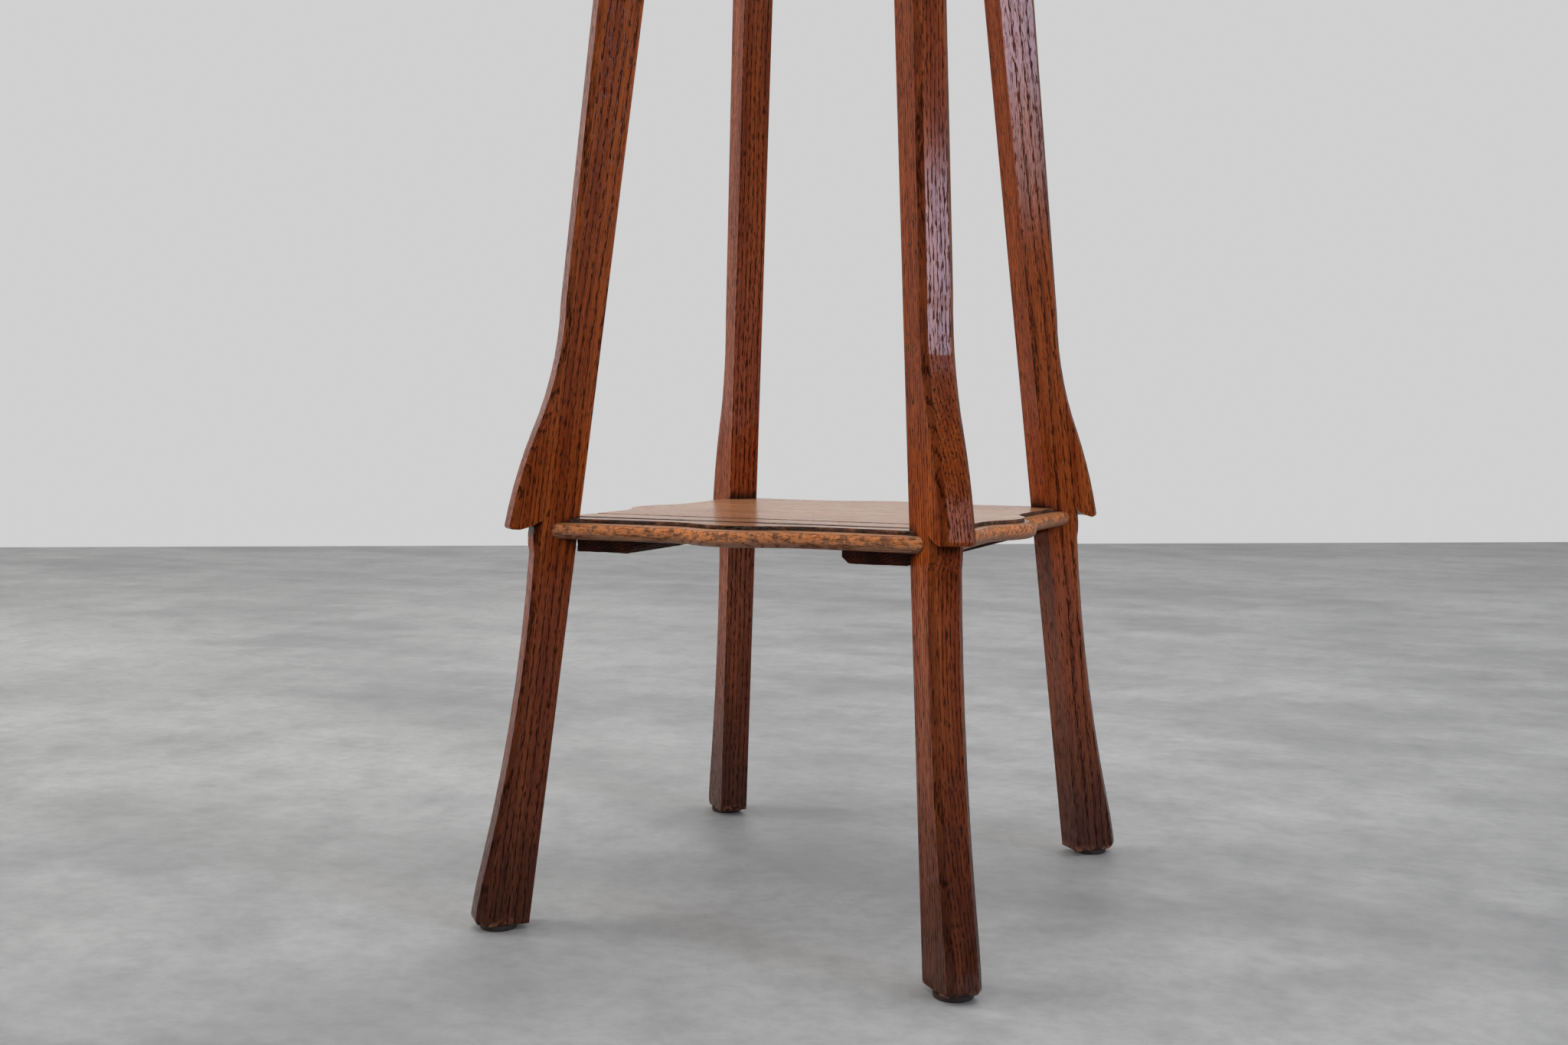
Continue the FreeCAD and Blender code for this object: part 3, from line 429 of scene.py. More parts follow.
# %% The woods of the stand
leg_finish = stained_oak(
    "stained_oak_legs",
    (srgb(178, 89, 38), srgb(146, 65, 27), srgb(90, 32, 12), srgb(190, 124, 88)),
    pore_share=0.82, corner_shade_reach=16 * MM, foot_darkening=0.8, barb_dull=0.8)
shelf_finish = stained_oak(
    "stained_oak_shelf",
    (srgb(214, 156, 112), srgb(196, 136, 94), srgb(128, 74, 40), srgb(240, 146, 80)),
    ring_gap=3.2 * MM, corner_shade_reach=16 * MM, gloss=0.21, pore_share=0.25, wear=0.3, edge_wear_and_highlight=0.9,
    shine=1.0, relief_strength=0.10)
top_finish = stained_oak(
    "stained_oak_top",
    (srgb(186, 108, 56), srgb(154, 80, 38), srgb(100, 46, 21), srgb(214, 136, 80)),
    ring_gap=3.4 * MM, gloss=0.20, pore_share=0.6, edge_wear_and_highlight=0.6, shine=0.45, relief_strength=0.25)
apron_finish = stained_oak(
    "stained_oak_aprons",
    (srgb(176, 90, 38), srgb(142, 66, 26), srgb(88, 34, 13), srgb(190, 122, 84)),
    ring_gap=3.0 * MM)
rough_finish = stained_oak(
    "rough_sawn_oak",
    (srgb(74, 32, 17), srgb(46, 19, 10), srgb(26, 10, 6), srgb(104, 56, 32)),
    gloss=0.75, wear=0.25, shine=0.2)
block_finish = stained_oak(
    "raw_pine",
    (srgb(206, 166, 118), srgb(188, 144, 98), srgb(160, 116, 74), srgb(200, 160, 116)),
    ring_gap=5 * MM, pore_share=0.12, corner_shade=0.4, gloss=0.65)
for wood in (leg_finish, shelf_finish, top_finish, apron_finish, rough_finish, block_finish):
    print("%-20s %d nodes" % (wood.name, len(wood.node_tree.nodes)))

# %% [markdown]
# The small pieces have plain finishes: beech for the dowels, hard dark plastic for the furniture glides and
# dull steel for nails and screws. Each still has a little unevenness, because a perfectly even surface looks
# like a toy.

# %% Finishes of the small pieces
SMALL_RELIEF = 0.1 * MM
SMALL_RELIEF_STRENGTH = 0.3
COLOUR_START, COLOUR_FULL = 0.35, 0.65
ROUGH_START, ROUGH_FULL = 0.3, 0.7


def small_finish(name, first, second, cells, low_rough, high_rough, metallic=0.0):
    recipe = Recipe(bpy.data.materials.new(name))
    place = recipe.add("TexCoord", {}, output="Object")
    cloud = recipe.cloud(place, (cells, cells, cells), detail=4.0, rough=0.6)
    colour = recipe.blend(recipe.ease(cloud, COLOUR_START, COLOUR_FULL), first, second)
    rough = recipe.ease(cloud, ROUGH_START, ROUGH_FULL, low_rough, high_rough)
    relief = {"Strength": SMALL_RELIEF_STRENGTH, "Distance": SMALL_RELIEF, "Height": cloud}
    bump = recipe.add("Bump", relief)
    inputs = {"Base Color": colour, "Roughness": rough, "Normal": bump, "Metallic": metallic}
    return recipe.finish(recipe.add("BsdfPrincipled", inputs))


small_finishes = {
    "dowel_beech": small_finish("beech", srgb(196, 156, 116), srgb(178, 136, 96), 300.0, 0.6, 0.8),
    "glide_rubber": small_finish("dark_glide", srgb(38, 30, 27), srgb(58, 46, 40), 260.0, 0.45, 0.7),
    "nail_steel": small_finish("nail_steel", srgb(120, 114, 108), srgb(92, 84, 78), 900.0, 0.35, 0.6, 1.0),
    "screw_steel": small_finish("screw_steel", srgb(112, 104, 96), srgb(84, 74, 66), 900.0, 0.4, 0.65, 1.0),
}
print("small finishes", len(small_finishes))

# %% [markdown]
# Dressing a wooden piece starts with a copy of its CAD solid. The copy's flat facets are joined, and its
# sharp edges are rounded with a bevel, as an old piece's arrises are. The shape stays the CAD shape, and the
# roundings are real geometry, which catches the light on every side.

# %% Copy a solid and round its arrises
SAME_POINT = 0.01 * MM
FLAT = math.radians(0.2)
SHARP = math.radians(22)


def solid_copy(node):
    """A bmesh of a CAD node with its facets joined."""
    made = bmesh.new()
    made.from_mesh(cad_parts[node].data)
    bmesh.ops.remove_doubles(made, verts=made.verts, dist=SAME_POINT)
    bmesh.ops.dissolve_limit(made, angle_limit=FLAT, verts=made.verts, edges=made.edges)
    return made


def sharp_edges(made, chosen=None):
    """The edges that turn by more than a little. chosen(start, end) can pick among them."""
    found = []
    for edge in made.edges:
        if len(edge.link_faces) == 2 and edge.calc_face_angle() > SHARP:
            if chosen is None or chosen(*[vert.co for vert in edge.verts]):
                found.append(edge)
    return found


def round_arrises(made, radius, steps=3, chosen=None):
    """Rounds sharp edges and tells how many there were."""
    edges = sharp_edges(made, chosen)
    bmesh.ops.bevel(made, geom=edges, offset=radius, segments=steps, profile=0.5, affect="EDGES",
                    clamp_overlap=True)
    return len(edges)


print("an arris is an edge that turns by more than", round(math.degrees(SHARP)), "degrees")

# %% [markdown]
# A long flat face has points only at its corners, so nothing between them can be uneven. Cutting a piece
# across into short bands puts points all along its edges. The cuts lie in the surface and don't change it.

# %% Cut a piece into bands
CUT_TOLERANCE = 0.001 * MM


def cut_across(made, axis, place):
    """Cuts every face that a plane across the axis meets."""
    parts = made.verts[:] + made.edges[:] + made.faces[:]
    bmesh.ops.bisect_plane(made, geom=parts, dist=CUT_TOLERANCE, plane_co=axis * place, plane_no=axis)


def cut_into_bands(made, axis, low, high, step):
    """Cuts across an axis at even places."""
    count = int((high - low) / step)
    for index in range(1, count):
        cut_across(made, axis, low + (high - low) * index / count)


print("a cut takes points closer than", CUT_TOLERANCE / MM, "mm as lying on it")

# %% [markdown]
# Hand-planed and knocked wood is never quite even. Here smooth 3-D noise says how far each point goes in.
# Points only go inwards, so the piece never grows. A rounded arris has points that lie close together and
# face different ways, and they would cross over each other. So close neighbours move together, and where a
# face would still turn over, its points move less.

# %% Press the surface in
SHORT_EDGE = 0.3 * MM
PRESS_ROUNDS = 6
TURNED_OVER = 0.5  # cosine of the tilt from which a face counts as turned
HOLD_BACK = 0.6
SEED_SKEW = 0.7


def dent_share(place, length, seed):
    """How far a point goes in, from 0 to 1, in smooth dents of about a length."""
    share = 0.5 + 0.5 * noise.noise(place / length + Vector((seed, seed * SEED_SKEW, 0)))
    return max(0.0, min(1.0, share))


def turned_points(made, facing):
    """The points of all the faces that no longer look the way they did."""
    turned = set()
    for face, before in zip(made.faces, facing):
        if face.normal.dot(before) < TURNED_OVER:
            turned.update(vert.index for vert in face.verts)
    return turned


def press_in(made, depth, length, seed):
    """Moves points inwards by up to a depth."""
    made.normal_update()
    made.verts.index_update()
    places = [vert.co.copy() for vert in made.verts]
    facing = [face.normal.copy() for face in made.faces]
    close = [[vert.index for vert in edge.verts] for edge in made.edges if edge.calc_length() < SHORT_EDGE]
    shifts = [-vert.normal * depth * dent_share(vert.co, length, seed) for vert in made.verts]
    for attempt in range(PRESS_ROUNDS):
        for one, other in close:
            shifts[one] = shifts[other] = (shifts[one] + shifts[other]) / 2
        for vert, place, shift in zip(made.verts, places, shifts):
            vert.co = place + shift
        made.normal_update()
        for index in turned_points(made, facing):
            shifts[index] = shifts[index] * HOLD_BACK


print("points closer than", SHORT_EDGE / MM, "mm move together")

# %% [markdown]
# Each plank was sawn from a different place in the tree. Its grain frame says which way the fibre runs and
# where the heart of the tree lies from it: close by, the rings arch over the face, and far off they run
# straight. The frame is written into the mesh once, as an attribute, because the place of a point in the
# plank is a plain sum of its coordinates and so survives any later cut. The attribute of dirt and painted
# shade is kept per face.

# %% Write the grain attribute and that of dirt and painted shade
def write_grain(mesh, along, through, heart):
    """The place of each point in its plank, from the tree's heart: along, across and through it."""
    along = along.normalized()
    through = (through - along * through.dot(along)).normalized()
    across = through.cross(along)
    points = [vert.co for vert in mesh.vertices]
    middle = sum(points, Vector()) / len(points)
    layer = mesh.attributes.new("grain", "FLOAT_VECTOR", "POINT")
    for point, entry in zip(points, layer.data):
        offset = point - middle
        entry.vector = (point.dot(along), offset.dot(across) + heart[0], offset.dot(through) + heart[1])


def write_dirt(mesh, share):
    """Stores how dark each face is painted, from 0 to 1, for dirt and for painted shade. share works that out
    for a face.
    """
    layer = mesh.attributes.new("dirt", "FLOAT", "FACE")
    for face, entry in zip(mesh.polygons, layer.data):
        entry.value = share(face)


print("attributes: grain on points, dirt on faces")

# %% [markdown]
# A dressed piece stands for one CAD solid: it takes that solid's place in the model, rides on the same body
# and gets its finish as its one material. Smooth shading with weighted normals keeps large faces flat and
# lets only the small roundings bend.

# %% Make the piece that stands for a solid
LARGE_FACES_FIRST = 100


def finished_piece(made, name, node, finish, slot, along, through, heart):
    """Turns a bmesh into a piece that stands for a CAD node."""
    mesh = bpy.data.meshes.new(name)
    made.to_mesh(mesh)
    made.free()
    for face in mesh.polygons:
        face.use_smooth = True
    write_grain(mesh, along, through, heart)
    mesh.materials.append(finish)
    piece = bpy.data.objects.new(name, mesh)
    bpy.context.scene.collection.objects.link(piece)
    shading = piece.modifiers.new("even_shading", "WEIGHTED_NORMAL")
    shading.weight = LARGE_FACES_FIRST
    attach(piece, "root")
    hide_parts(node)
    print("%-24s %6d faces" % (name, len(mesh.polygons)))
    return piece


# %% [markdown]
# The legs are planks in the diagonal planes. Their fibre runs from the middle of the foot to the middle of
# the top end, so those two places are measured on the CAD solid. The outward direction tells the outer edge,
# with its barb and its chamfers, from the plain inner one.

# %% A leg's directions
def end_middle(node, level, reach):
    """The middle of a node's points near a level."""
    near = [vert.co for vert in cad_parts[node].data.vertices if abs(vert.co.z - level) < reach]
    return sum(near, Vector()) / len(near)


def leg_frame(corner):
    """A leg's fibre direction, the outward direction, and the levels of its two ends."""
    node = "leg_" + corner
    low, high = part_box(node)
    foot = end_middle(node, low.z, MM)
    head = end_middle(node, high.z, MM)
    outward = Vector((math.copysign(1, foot.x), math.copysign(1, foot.y), 0)).normalized()
    return head - foot, outward, low.z, high.z


print("a leg's fibre runs along", [round(v, 3) for v in leg_frame("front_right")[0].normalized()])

# %% [markdown]
# A foot that is dragged over floors loses its outer lower corner, the toe. A bevel of that size would run
# into the chamfers beside it, so the points near the toe are drawn in along a quarter circle instead. The
# effect fades out towards the middle of the foot.

# %% Round a toe
TOE_ROUND = 7.0 * MM
TOE_FULL, TOE_END = TOE_ROUND, 3 * TOE_ROUND


def round_toe(made, outward, foot_level):
    """Draws the outer lower corner of a foot in along a quarter circle."""
    toe = max(vert.co.dot(outward) for vert in made.verts if vert.co.z < foot_level + TOE_ROUND)
    for vert in made.verts:
        rise = vert.co.z - foot_level
        if rise < TOE_ROUND:
            short = TOE_ROUND - math.sqrt(max(0.0, TOE_ROUND ** 2 - (TOE_ROUND - rise) ** 2))
            near_toe = (vert.co.dot(outward) - toe + TOE_END) / (TOE_END - TOE_FULL)
            vert.co -= outward * short * max(0.0, min(1.0, near_toe))


print("toes are rounded by", TOE_ROUND / MM, "mm")

# %% [markdown]
# The barb is the pointed tail on the outer edge of a leg, which hangs down to just below the level of the
# shelf's upper face. Its underside is worn far rounder than the long arrises, but the edge straight across
# the plank stays crisp, so the edges are told apart by their direction. The two chamfers of the outer edge
# get painted shade, which makes them darker than the faces beside them, and are found by the way they look.

# %% Find barbs and chamfers
BARB_LOW, BARB_HIGH = SHELF_TOP - 11 * MM, SHELF_TOP - 1.5 * MM
BARB_REACH = 258 * MM  # from the stand's centre line
STRAIGHT_ACROSS = 0.3 * MM
CHAMFER_OUTWARD = 0.4
CHAMFER_LEAST, CHAMFER_MOST = 0.45, 0.9  # how far to the side a chamfer looks


def barb_side(start, end, outward):
    """Whether an edge runs round the underside of the barb, other than straight across the plank."""
    low = all(BARB_LOW < point.z < BARB_HIGH and point.dot(outward) > BARB_REACH for point in (start, end))
    return low and abs((end - start).dot(outward)) > STRAIGHT_ACROSS


def is_chamfer(normal, outward, sideways):
    to_side = abs(normal.dot(sideways))
    return normal.dot(outward) > CHAMFER_OUTWARD and CHAMFER_LEAST < to_side < CHAMFER_MOST


print("a barb's lower edges lie between", round(BARB_LOW, 4), "and", round(BARB_HIGH, 4), "m")

# %% [markdown]
# The order of the steps matters. The bottom rim and the barb are rounded first and more, and the fine
# rounding of all other arrises follows. Then the leg is cut into bands, finer ones at the foot, the toe is
# drawn in, and last the surface is pressed in. Each leg has another seed and another place in the tree, so
# no two are alike.

# %% The four legs
LEG_HEARTS = {
    "front_right": (-0.060, 0.075),
    "back_right": (0.030, 0.085),
    "back_left": (-0.070, 0.060),
    "front_left": (0.042, 0.050),
}
RIM = 0.2 * MM
FOOT_WEAR, BARB_WEAR, ARRIS_WEAR = 2.2 * MM, 2.6 * MM, 0.6 * MM
ROUND_STEPS = 4
LEG_BAND, FOOT_BAND = 9 * MM, 1.2 * MM
LEG_DENT, LEG_DENT_LENGTH, LEG_SEED = 0.25 * MM, 30 * MM, 3.1
# painted shade on the two chamfers of each leg
CHAMFER_SHADE = 0.42

for number, corner in enumerate(LEG_HEARTS):
    along, outward, foot_level, head_level = leg_frame(corner)
    sideways = Z.cross(outward)
    made = solid_copy("leg_" + corner)
    round_arrises(made, FOOT_WEAR, ROUND_STEPS, lambda start, end: max(start.z, end.z) < foot_level + RIM)
    barb = round_arrises(made, BARB_WEAR, ROUND_STEPS, lambda start, end: barb_side(start, end, outward))
    round_arrises(made, ARRIS_WEAR)
    cut_into_bands(made, Z, foot_level, head_level, LEG_BAND)
    cut_into_bands(made, Z, foot_level, foot_level + TOE_ROUND, FOOT_BAND)
    round_toe(made, outward, foot_level)
    press_in(made, LEG_DENT, LEG_DENT_LENGTH, number * LEG_SEED)
    leg = finished_piece(made, "oak_leg_" + corner, "leg_" + corner, leg_finish, "leg_oak", along, sideways,
                         LEG_HEARTS[corner])
    # the chamfers get painted shade through the attribute of dirt and painted shade
    write_dirt(leg.data, lambda face: CHAMFER_SHADE if is_chamfer(face.normal, outward, sideways) else 0.0)
    print("rounded", barb, "edges of its barb")

# %% [markdown]
# The shelf and the top are each glued up from boards whose fibre runs from side to side. On the real shelf
# the two front boards have sunk a little towards the joints behind them, and dirt has settled in the joints.
# The small step round the upper face gets painted shade and dirt. The sinking is a slope near the joint, and
# the dirt and the painted shade are found by place.

# %% Sunk boards, dirty joints and a step with painted shade
SEAM_WEAR = 0.6 * MM
STEP_HEIGHT = 3 * MM
# dirt in the seams, and painted shade and dirt on the step
SEAM_DIRT, STEP_SHADE_AND_DIRT = 0.95, 0.85
SEAM_DIRT_REACH = 1.5 * SEAM_WEAR
SUNK_REACH, SUNK_DEPTH = 9 * MM, 1.2 * SEAM_WEAR
LEVEL_MARGIN = 0.3 * MM
UPRIGHT = 0.5


def board_dirt(seams, top_level):
    """Dirt in the seams between boards, and painted shade and dirt on the small step round the upper face."""
    def share(face):
        if any(abs(face.center.y - seam) < SEAM_DIRT_REACH for seam in seams):
            return SEAM_DIRT
        on_step = top_level - STEP_HEIGHT - LEVEL_MARGIN < face.center.z < top_level - LEVEL_MARGIN
        return STEP_SHADE_AND_DIRT if on_step and abs(face.normal.z) < UPRIGHT else 0.0
    return share


def sink_edge(made, seam, top_level, depth):
    """Lets a board's upper face slope down a little towards the seam behind it."""
    if not depth:
        return
    cut_across(made, Y, seam - SUNK_REACH)
    for vert in made.verts:
        if vert.co.z > top_level - SUNK_DEPTH and vert.co.y > seam - SUNK_REACH:
            vert.co.z -= depth * (1 - (seam - vert.co.y) / SUNK_REACH)


print("the step is", STEP_HEIGHT / MM, "mm high")

# %% [markdown]
# A board's joints are its large flat faces that look straight to the front or the back. Rounding the two
# sharp edges beside a joint by a hair makes the joint show as a fine dark line, as an opened glue joint does.

# %% Open the joints of a board
SEAM_FACING = 0.999
SEAM_AREA = 0.002  # square metres
ON_FACE = 0.1 * MM
JOINT_STEPS = 3


def joint_places(made):
    """How far to the back each joint of a board lies."""
    return [face.calc_center_median().y for face in made.faces
            if abs(face.normal.y) > SEAM_FACING and face.calc_area() > SEAM_AREA]


def open_joints(made, seams, top_level):
    """Rounds the upper edges of a board's joints and tells how many there were."""
    def on_joint(point):
        return point.z > top_level - ON_FACE and any(abs(point.y - seam) < ON_FACE for seam in seams)
    return round_arrises(made, SEAM_WEAR, JOINT_STEPS, lambda start, end: on_joint(start) and on_joint(end))


print("joints are opened by", SEAM_WEAR / MM, "mm")

# %% [markdown]
# With these helpers a board is quickly dressed. The table says where in the tree each board was sawn: far
# from the heart the rings run nearly straight, and close to it, as in the middle of the top, they arch.

# %% The boards of the shelf and the top
BOARD_HEARTS = {
    "shelf_board_front": (0.070, 0.060),
    "shelf_board_second": (0.050, 0.045),
    "shelf_board_third": (-0.020, 0.060),
    "shelf_board_back": (-0.060, 0.070),
    "top_board_front": (0.060, 0.060),
    "top_board_middle": (0.010, 0.055),
    "top_board_back": (-0.050, 0.070),
}
SUNK_BOARDS = {"shelf_board_front": 0.6 * MM, "shelf_board_second": 0.3 * MM}
FEW_STEPS = 2
BOARD_WEAR, BOARD_BAND = 0.3 * MM, 10 * MM
BOARD_DENT, BOARD_DENT_LENGTH, BOARD_SEED = 0.3 * MM, 20 * MM, 2.3

for number, (node, heart) in enumerate(BOARD_HEARTS.items()):
    finish, slot = (shelf_finish, "shelf_oak") if node.startswith("shelf") else (top_finish, "top_oak")
    low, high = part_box(node)
    made = solid_copy(node)
    seams = joint_places(made)
    opened = open_joints(made, seams, high.z)
    round_arrises(made, BOARD_WEAR, FEW_STEPS)
    sink_edge(made, max(seams), high.z, SUNK_BOARDS.get(node, 0.0))
    cut_into_bands(made, X, low.x, high.x, BOARD_BAND)
    press_in(made, BOARD_DENT, BOARD_DENT_LENGTH, number * BOARD_SEED)
    board = finished_piece(made, "oak_" + node, node, finish, slot, X, Z, heart)
    # dirt in the joints, and painted shade and dirt on the small step
    write_dirt(board.data, board_dirt(seams, high.z))
    print("opened", opened, "edges of its", len(seams), "joints")

# %% [markdown]
# The battens under the shelf were left rough from the saw. They get a closer net of cuts and deeper dents,
# so that their lower arrises look torn.

# %% The battens
BATTEN_WEAR, BATTEN_BAND = 0.9 * MM, 3.5 * MM
BATTEN_DENT, BATTEN_DENT_LENGTH, BATTEN_SEED = 1.6 * MM, 6 * MM, 40
BATTEN_HEART = (0.03, 0.05)

for number, side in enumerate(("left", "right")):
    node = "shelf_batten_" + side
    low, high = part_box(node)
    made = solid_copy(node)
    round_arrises(made, BATTEN_WEAR, FEW_STEPS)
    for axis in (X, Y, Z):
        cut_into_bands(made, axis, low.dot(axis), high.dot(axis), BATTEN_BAND)
    press_in(made, BATTEN_DENT, BATTEN_DENT_LENGTH, BATTEN_SEED + number)
    finished_piece(made, "rough_batten_" + side, node, rough_finish, "rough_oak", Y, Z, BATTEN_HEART)

# %% [markdown]
# Aprons join the legs under the top, and glue blocks behind them hold the top down. Each apron and its block
# lie along one side of the stand, so they are made together in a loop over the four sides. Their fibre runs
# along that side.

# %% The aprons and glue blocks
APRON_WEAR, APRON_BAND = 0.6 * MM, 10 * MM
APRON_DENT, APRON_DENT_LENGTH, APRON_SEED = 0.25 * MM, 30 * MM, 60
BLOCK_WEAR, BLOCK_BAND = 0.7 * MM, 8 * MM
BLOCK_DENT, BLOCK_DENT_LENGTH, BLOCK_SEED = 0.3 * MM, 10 * MM, 80

for number, side in enumerate(("front", "right", "back", "left")):
    along, through = (X, Y) if side in ("front", "back") else (Y, X)
    apron_heart, block_heart = (0.02 + 0.03 * number, 0.06), (0.05, 0.07 + 0.01 * number)
    low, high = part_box("apron_" + side)
    made = solid_copy("apron_" + side)
    round_arrises(made, APRON_WEAR, FEW_STEPS)
    cut_into_bands(made, along, low.dot(along), high.dot(along), APRON_BAND)
    press_in(made, APRON_DENT, APRON_DENT_LENGTH, APRON_SEED + number)
    finished_piece(made, "oak_apron_" + side, "apron_" + side, apron_finish, "apron_oak", along, through,
                   apron_heart)
    made = solid_copy("top_block_" + side)
    round_arrises(made, BLOCK_WEAR, FEW_STEPS)
    cut_into_bands(made, along, low.dot(along), high.dot(along), BLOCK_BAND)
    press_in(made, BLOCK_DENT, BLOCK_DENT_LENGTH, BLOCK_SEED + number)
    finished_piece(made, "pine_block_" + side, "top_block_" + side, block_finish, "block_pine", along,
                   through, block_heart)

# %% [markdown]
# What is left keeps its CAD mesh, because it is turned, hidden or tiny: glides, nails, screws and dowels.
# Only their materials change.

# %% Materials of the pieces that stay as they are
SMALL_NODES = {
    "dowel_beech": ["shelf_dowel_" + corner for corner in LEG_HEARTS],
    "glide_rubber": ["glide_" + corner for corner in LEG_HEARTS],
    "nail_steel": ["glide_nails"],
    "screw_steel": ["batten_screws", "top_screws"],
}
for slot, names in SMALL_NODES.items():
    for name in names:
        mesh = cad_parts[name].data
        mesh.materials.clear()
        mesh.materials.append(small_finishes[slot])
print("kept nodes", sum(len(names) for names in SMALL_NODES.values()))

# %% [markdown]
# The wall and the space round the room should look plain and even, whatever the lamps do. So the camera, and
# any mirror image or view through glass, gets a plain colour, while the light that strikes the stand comes
# from the true surface. The Light Path node tells these two kinds of ray apart.

# %% What the camera sees
def seen(recipe):
    """1 for rays that show something, directly, mirrored or through glass, and 0 for rays that light it."""
    path = recipe.tree.nodes.new("ShaderNodeLightPath")
    shown = recipe.sum(path.outputs["Is Camera Ray"], path.outputs["Is Glossy Ray"], "MAXIMUM")
    return recipe.sum(shown, path.outputs["Is Transmission Ray"], "MAXIMUM")


WALL_SHOWN, SPACE_SHOWN = srgb(208, 208, 208), srgb(122, 122, 122)
print("the wall is shown at %.2f of white, the space at %.2f" % (WALL_SHOWN[0], SPACE_SHOWN[0]))

# %% [markdown]
# The floor is pale power-floated concrete. Up close it has fine grit, further off blots and streaks, and over
# metres it goes from lighter to darker. Four clouds of different sizes give that. It is only half polished,
# so that it mirrors the wall softly and the feet hardly at all.

# %% Concrete
FLOOR_CLOUDS = {"cells": (1.3, 2.2, 1.0), "detail": 6.0, "rough": 0.6}
FLOOR_STREAKS = {"cells": (4.0, 7.0, 1.0), "detail": 5.0, "rough": 0.6, "start": 0.40, "end": 0.80}
FLOOR_BLOTS = {"cells": (14.0, 11.0, 1.0), "detail": 4.0, "rough": 0.6, "start": 0.42, "end": 0.74}
FLOOR_GRIT = {"cells": (52.0, 60.0, 1.0), "detail": 5.0, "rough": 0.75, "start": 0.38, "end": 0.66}
CLOUD_START, CLOUD_FULL = 0.3, 0.7
POLISHED, UNPOLISHED = 0.48, 0.58
FLOOR_SHINE = 0.9


def concrete():
    recipe = Recipe(bpy.data.materials.new("polished_concrete"))
    place = recipe.add("TexCoord", {}, output="Object")
    clouds = recipe.cloud(place, **FLOOR_CLOUDS)
    shade = recipe.ease(clouds, CLOUD_START, CLOUD_FULL)
    colour = recipe.blend(shade, srgb(151, 151, 151), srgb(192, 192, 191))
    colour = recipe.tint(colour, recipe.marks(place, **FLOOR_STREAKS), 0.6, srgb(202, 202, 201))
    colour = recipe.tint(colour, recipe.marks(place, **FLOOR_BLOTS), 0.26, srgb(118, 118, 119))
    colour = recipe.tint(colour, recipe.marks(place, **FLOOR_GRIT), 0.20, srgb(112, 112, 113))
    rough = recipe.ease(clouds, CLOUD_START, CLOUD_FULL, POLISHED, UNPOLISHED)
    inputs = {"Base Color": colour, "Roughness": rough, "Specular IOR Level": FLOOR_SHINE}
    return recipe.finish(recipe.add("BsdfPrincipled", inputs))


floor_finish = concrete()
print("the grit of the floor is about %.0f mm wide" % (1 / FLOOR_GRIT["cells"][0] / MM))

# %% [markdown]
# The wall is matt white plaster, and gives light back to the stand as such a wall does. What the camera sees
# of it is the even grey-white of the photograph.

# %% Plaster
def plaster():
    recipe = Recipe(bpy.data.materials.new("light_wall"))
    shader = recipe.add("BsdfDiffuse", {"Color": srgb(215, 215, 215)})
    plain = recipe.add("Emission", {"Color": WALL_SHOWN, "Strength": 1.0})
    return recipe.finish(recipe.add("MixShader", {0: seen(recipe), 1: shader, 2: plain}))


wall_finish = plaster()
print("the room has", floor_finish.name, "and", wall_finish.name)

# %% [markdown]
# Floor and wall are single planes. The wall stands a few metres behind the stand, where its foot lands on the
# line that the photograph shows, and it turns a little because that line isn't quite level. It needn't be
# wider than the picture shows, and waxed faces mirror whatever is there.

# %% Floor and wall
FLOOR_SIDE = 40
WALL_DISTANCE, WALL_WIDTH, WALL_HEIGHT = 5.1, 5.8, 6
WALL_TURN = math.radians(6.5)


def plane(name, middle, side, rise, width, height, finish):
    """A rectangle round a middle, with its width along side and its height along rise."""
    corners = [middle + side * (a * width / 2) + rise * (b * height / 2)
               for a, b in ((-1, -1), (1, -1), (1, 1), (-1, 1))]
    mesh = bpy.data.meshes.new(name)
    mesh.from_pydata([tuple(corner) for corner in corners], [], [(0, 1, 2, 3)])
    mesh.materials.append(finish)
    sheet = bpy.data.objects.new(name, mesh)
    bpy.context.scene.collection.objects.link(sheet)
    return sheet


wall_side = level_right * math.cos(WALL_TURN) + level_ahead * math.sin(WALL_TURN)
under_camera = Vector((CAMERA_PLACE.x, CAMERA_PLACE.y, 0))
wall_middle = under_camera + level_ahead * WALL_DISTANCE + Z * (WALL_HEIGHT / 2)
plane("floor", Vector(), X, Y, FLOOR_SIDE, FLOOR_SIDE, floor_finish)
plane("wall", wall_middle, wall_side, Z, WALL_WIDTH, WALL_HEIGHT, wall_finish)
print("wall stands", WALL_DISTANCE, "m from the camera")

# %% [markdown]
# Light comes from large soft sources, as in a room with windows on both sides: a broad one from the left, a
# cool one on the right and a wide one overhead. The right window puts the pale sheen on waxed faces that are
# turned that way. It is made of two parts, the lower one weak, because the sheen fades out downwards. The
# other two lamps give light but no mirror image of themselves. There is little light from behind the camera,
# which is one reason why the chamfers that face it look dark.

# %% Lamps
FLOOR_MIDDLE, SHELF_AIM, KNEE_AIM = (0, 0, 0), (0, 0, 0.5), (0, 0, 0.6)


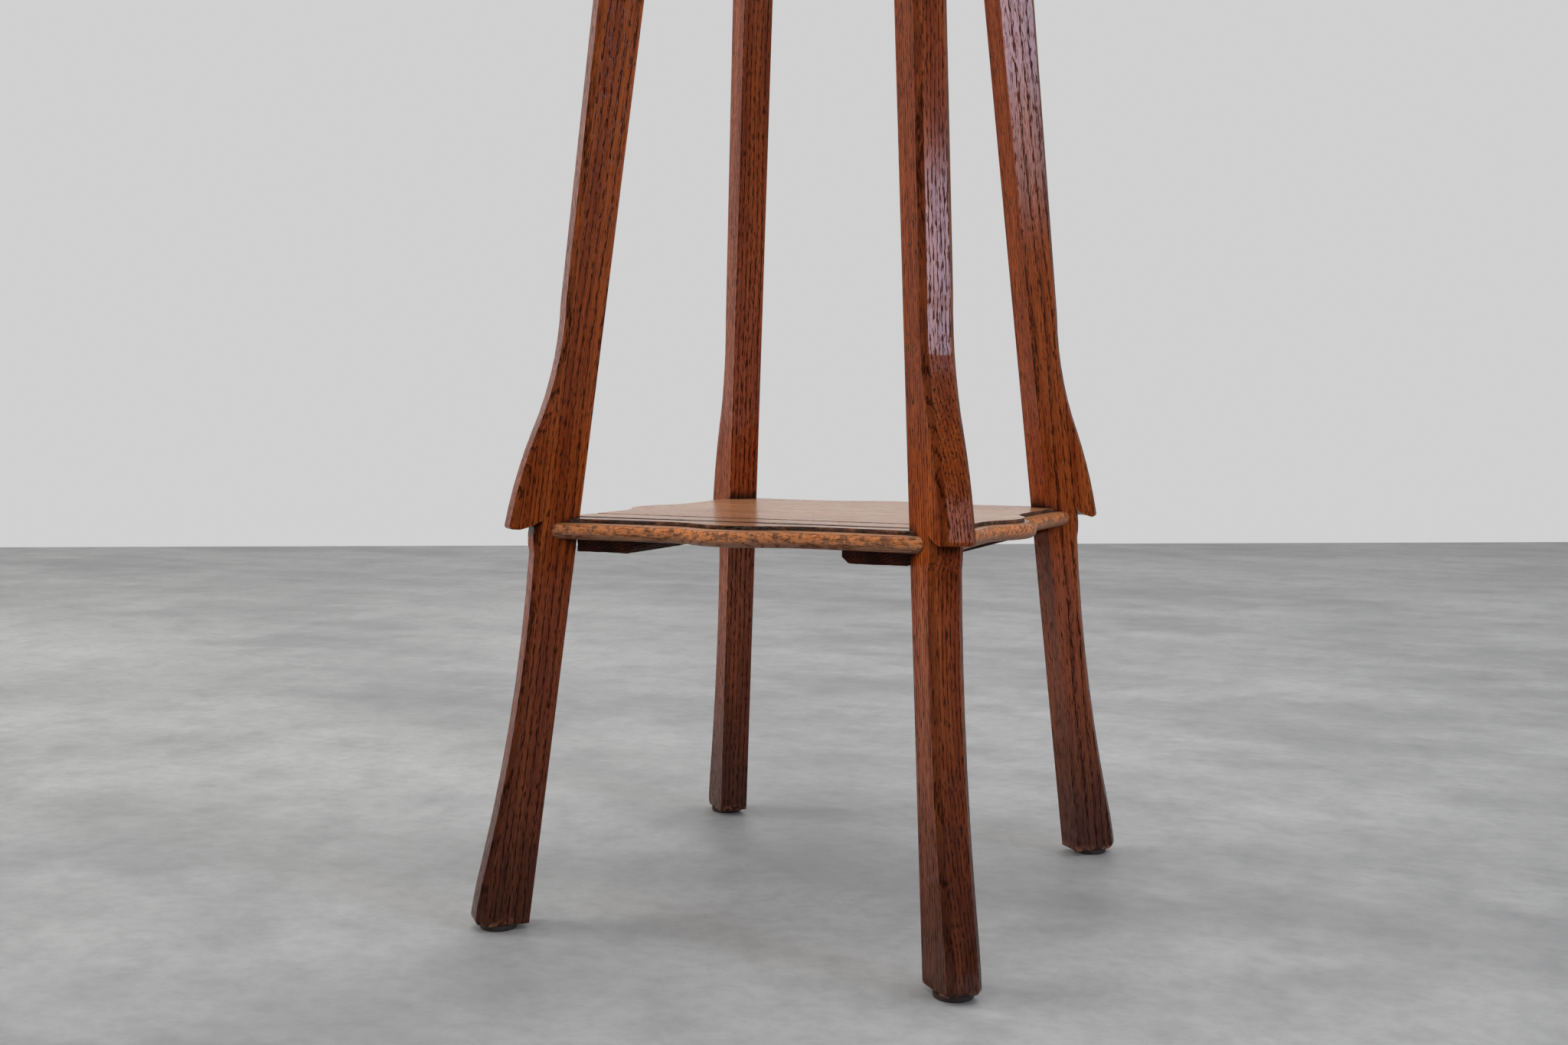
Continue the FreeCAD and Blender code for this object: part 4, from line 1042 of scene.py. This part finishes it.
def soft_light(name, place, aim, width, height, power, colour, mirrored=True):
    """A rectangular lamp, sizes in metres and power in watts, that shows in mirror images or doesn't."""
    data = bpy.data.lights.new(name, "AREA")
    data.shape = "RECTANGLE"
    data.size, data.size_y = width, height
    data.energy = power
    data.color = colour
    lamp = bpy.data.objects.new(name, data)
    bpy.context.scene.collection.objects.link(lamp)
    lamp.location = place
    lamp.rotation_euler = (Vector(aim) - Vector(place)).to_track_quat("-Z", "Y").to_euler()
    lamp.visible_glossy = mirrored
    return lamp


soft_light("left_windows", (-3.6, -1.3, 1.5), SHELF_AIM, 1.8, 1.6, 74, (1.0, 0.98, 0.95), mirrored=False)
soft_light("right_window", (3.8, -1.0, 1.62), KNEE_AIM, 1.1, 0.70, 26, (0.66, 0.74, 1.0))
soft_light("right_sill", (3.8, -1.0, 1.10), KNEE_AIM, 1.1, 0.34, 5, (0.80, 0.84, 1.0))
soft_light("ceiling", (0.2, 0.4, 3.4), FLOOR_MIDDLE, 4.0, 4.0, 54, (1.0, 1.0, 1.0), mirrored=False)

# %% [markdown]
# The world stands for daylight that bounces about the room. It is stronger from the sides and the back than
# from the front. As with the wall, the camera and mirror images get a plain colour instead, here a middle
# grey, so that waxed faces don't turn milky.

# %% The world
FRONT_FILL, BACK_FILL = 0.34, 0.62
FILL_START, FILL_FULL = -0.85, 0.3  # how far to the back a direction points, from -1 to 1

room = bpy.data.worlds.new("room")
bpy.context.scene.world = room
recipe = Recipe(room)
direction = recipe.add("TexCoord", {}, output="Generated")
to_back = recipe.add("SeparateXYZ", {0: direction}, output="Y")
strength = recipe.ease(to_back, FILL_START, FILL_FULL, FRONT_FILL, BACK_FILL)
fill = recipe.add("Background", {"Color": (1.0, 1.0, 1.0, 1.0), "Strength": strength})
shown = recipe.add("Background", {"Color": SPACE_SHOWN, "Strength": 1.0})
recipe.finish(recipe.add("MixShader", {0: seen(recipe), 1: fill, 2: shown}))
print("the world gives", FRONT_FILL, "from the front and", BACK_FILL, "from the back")
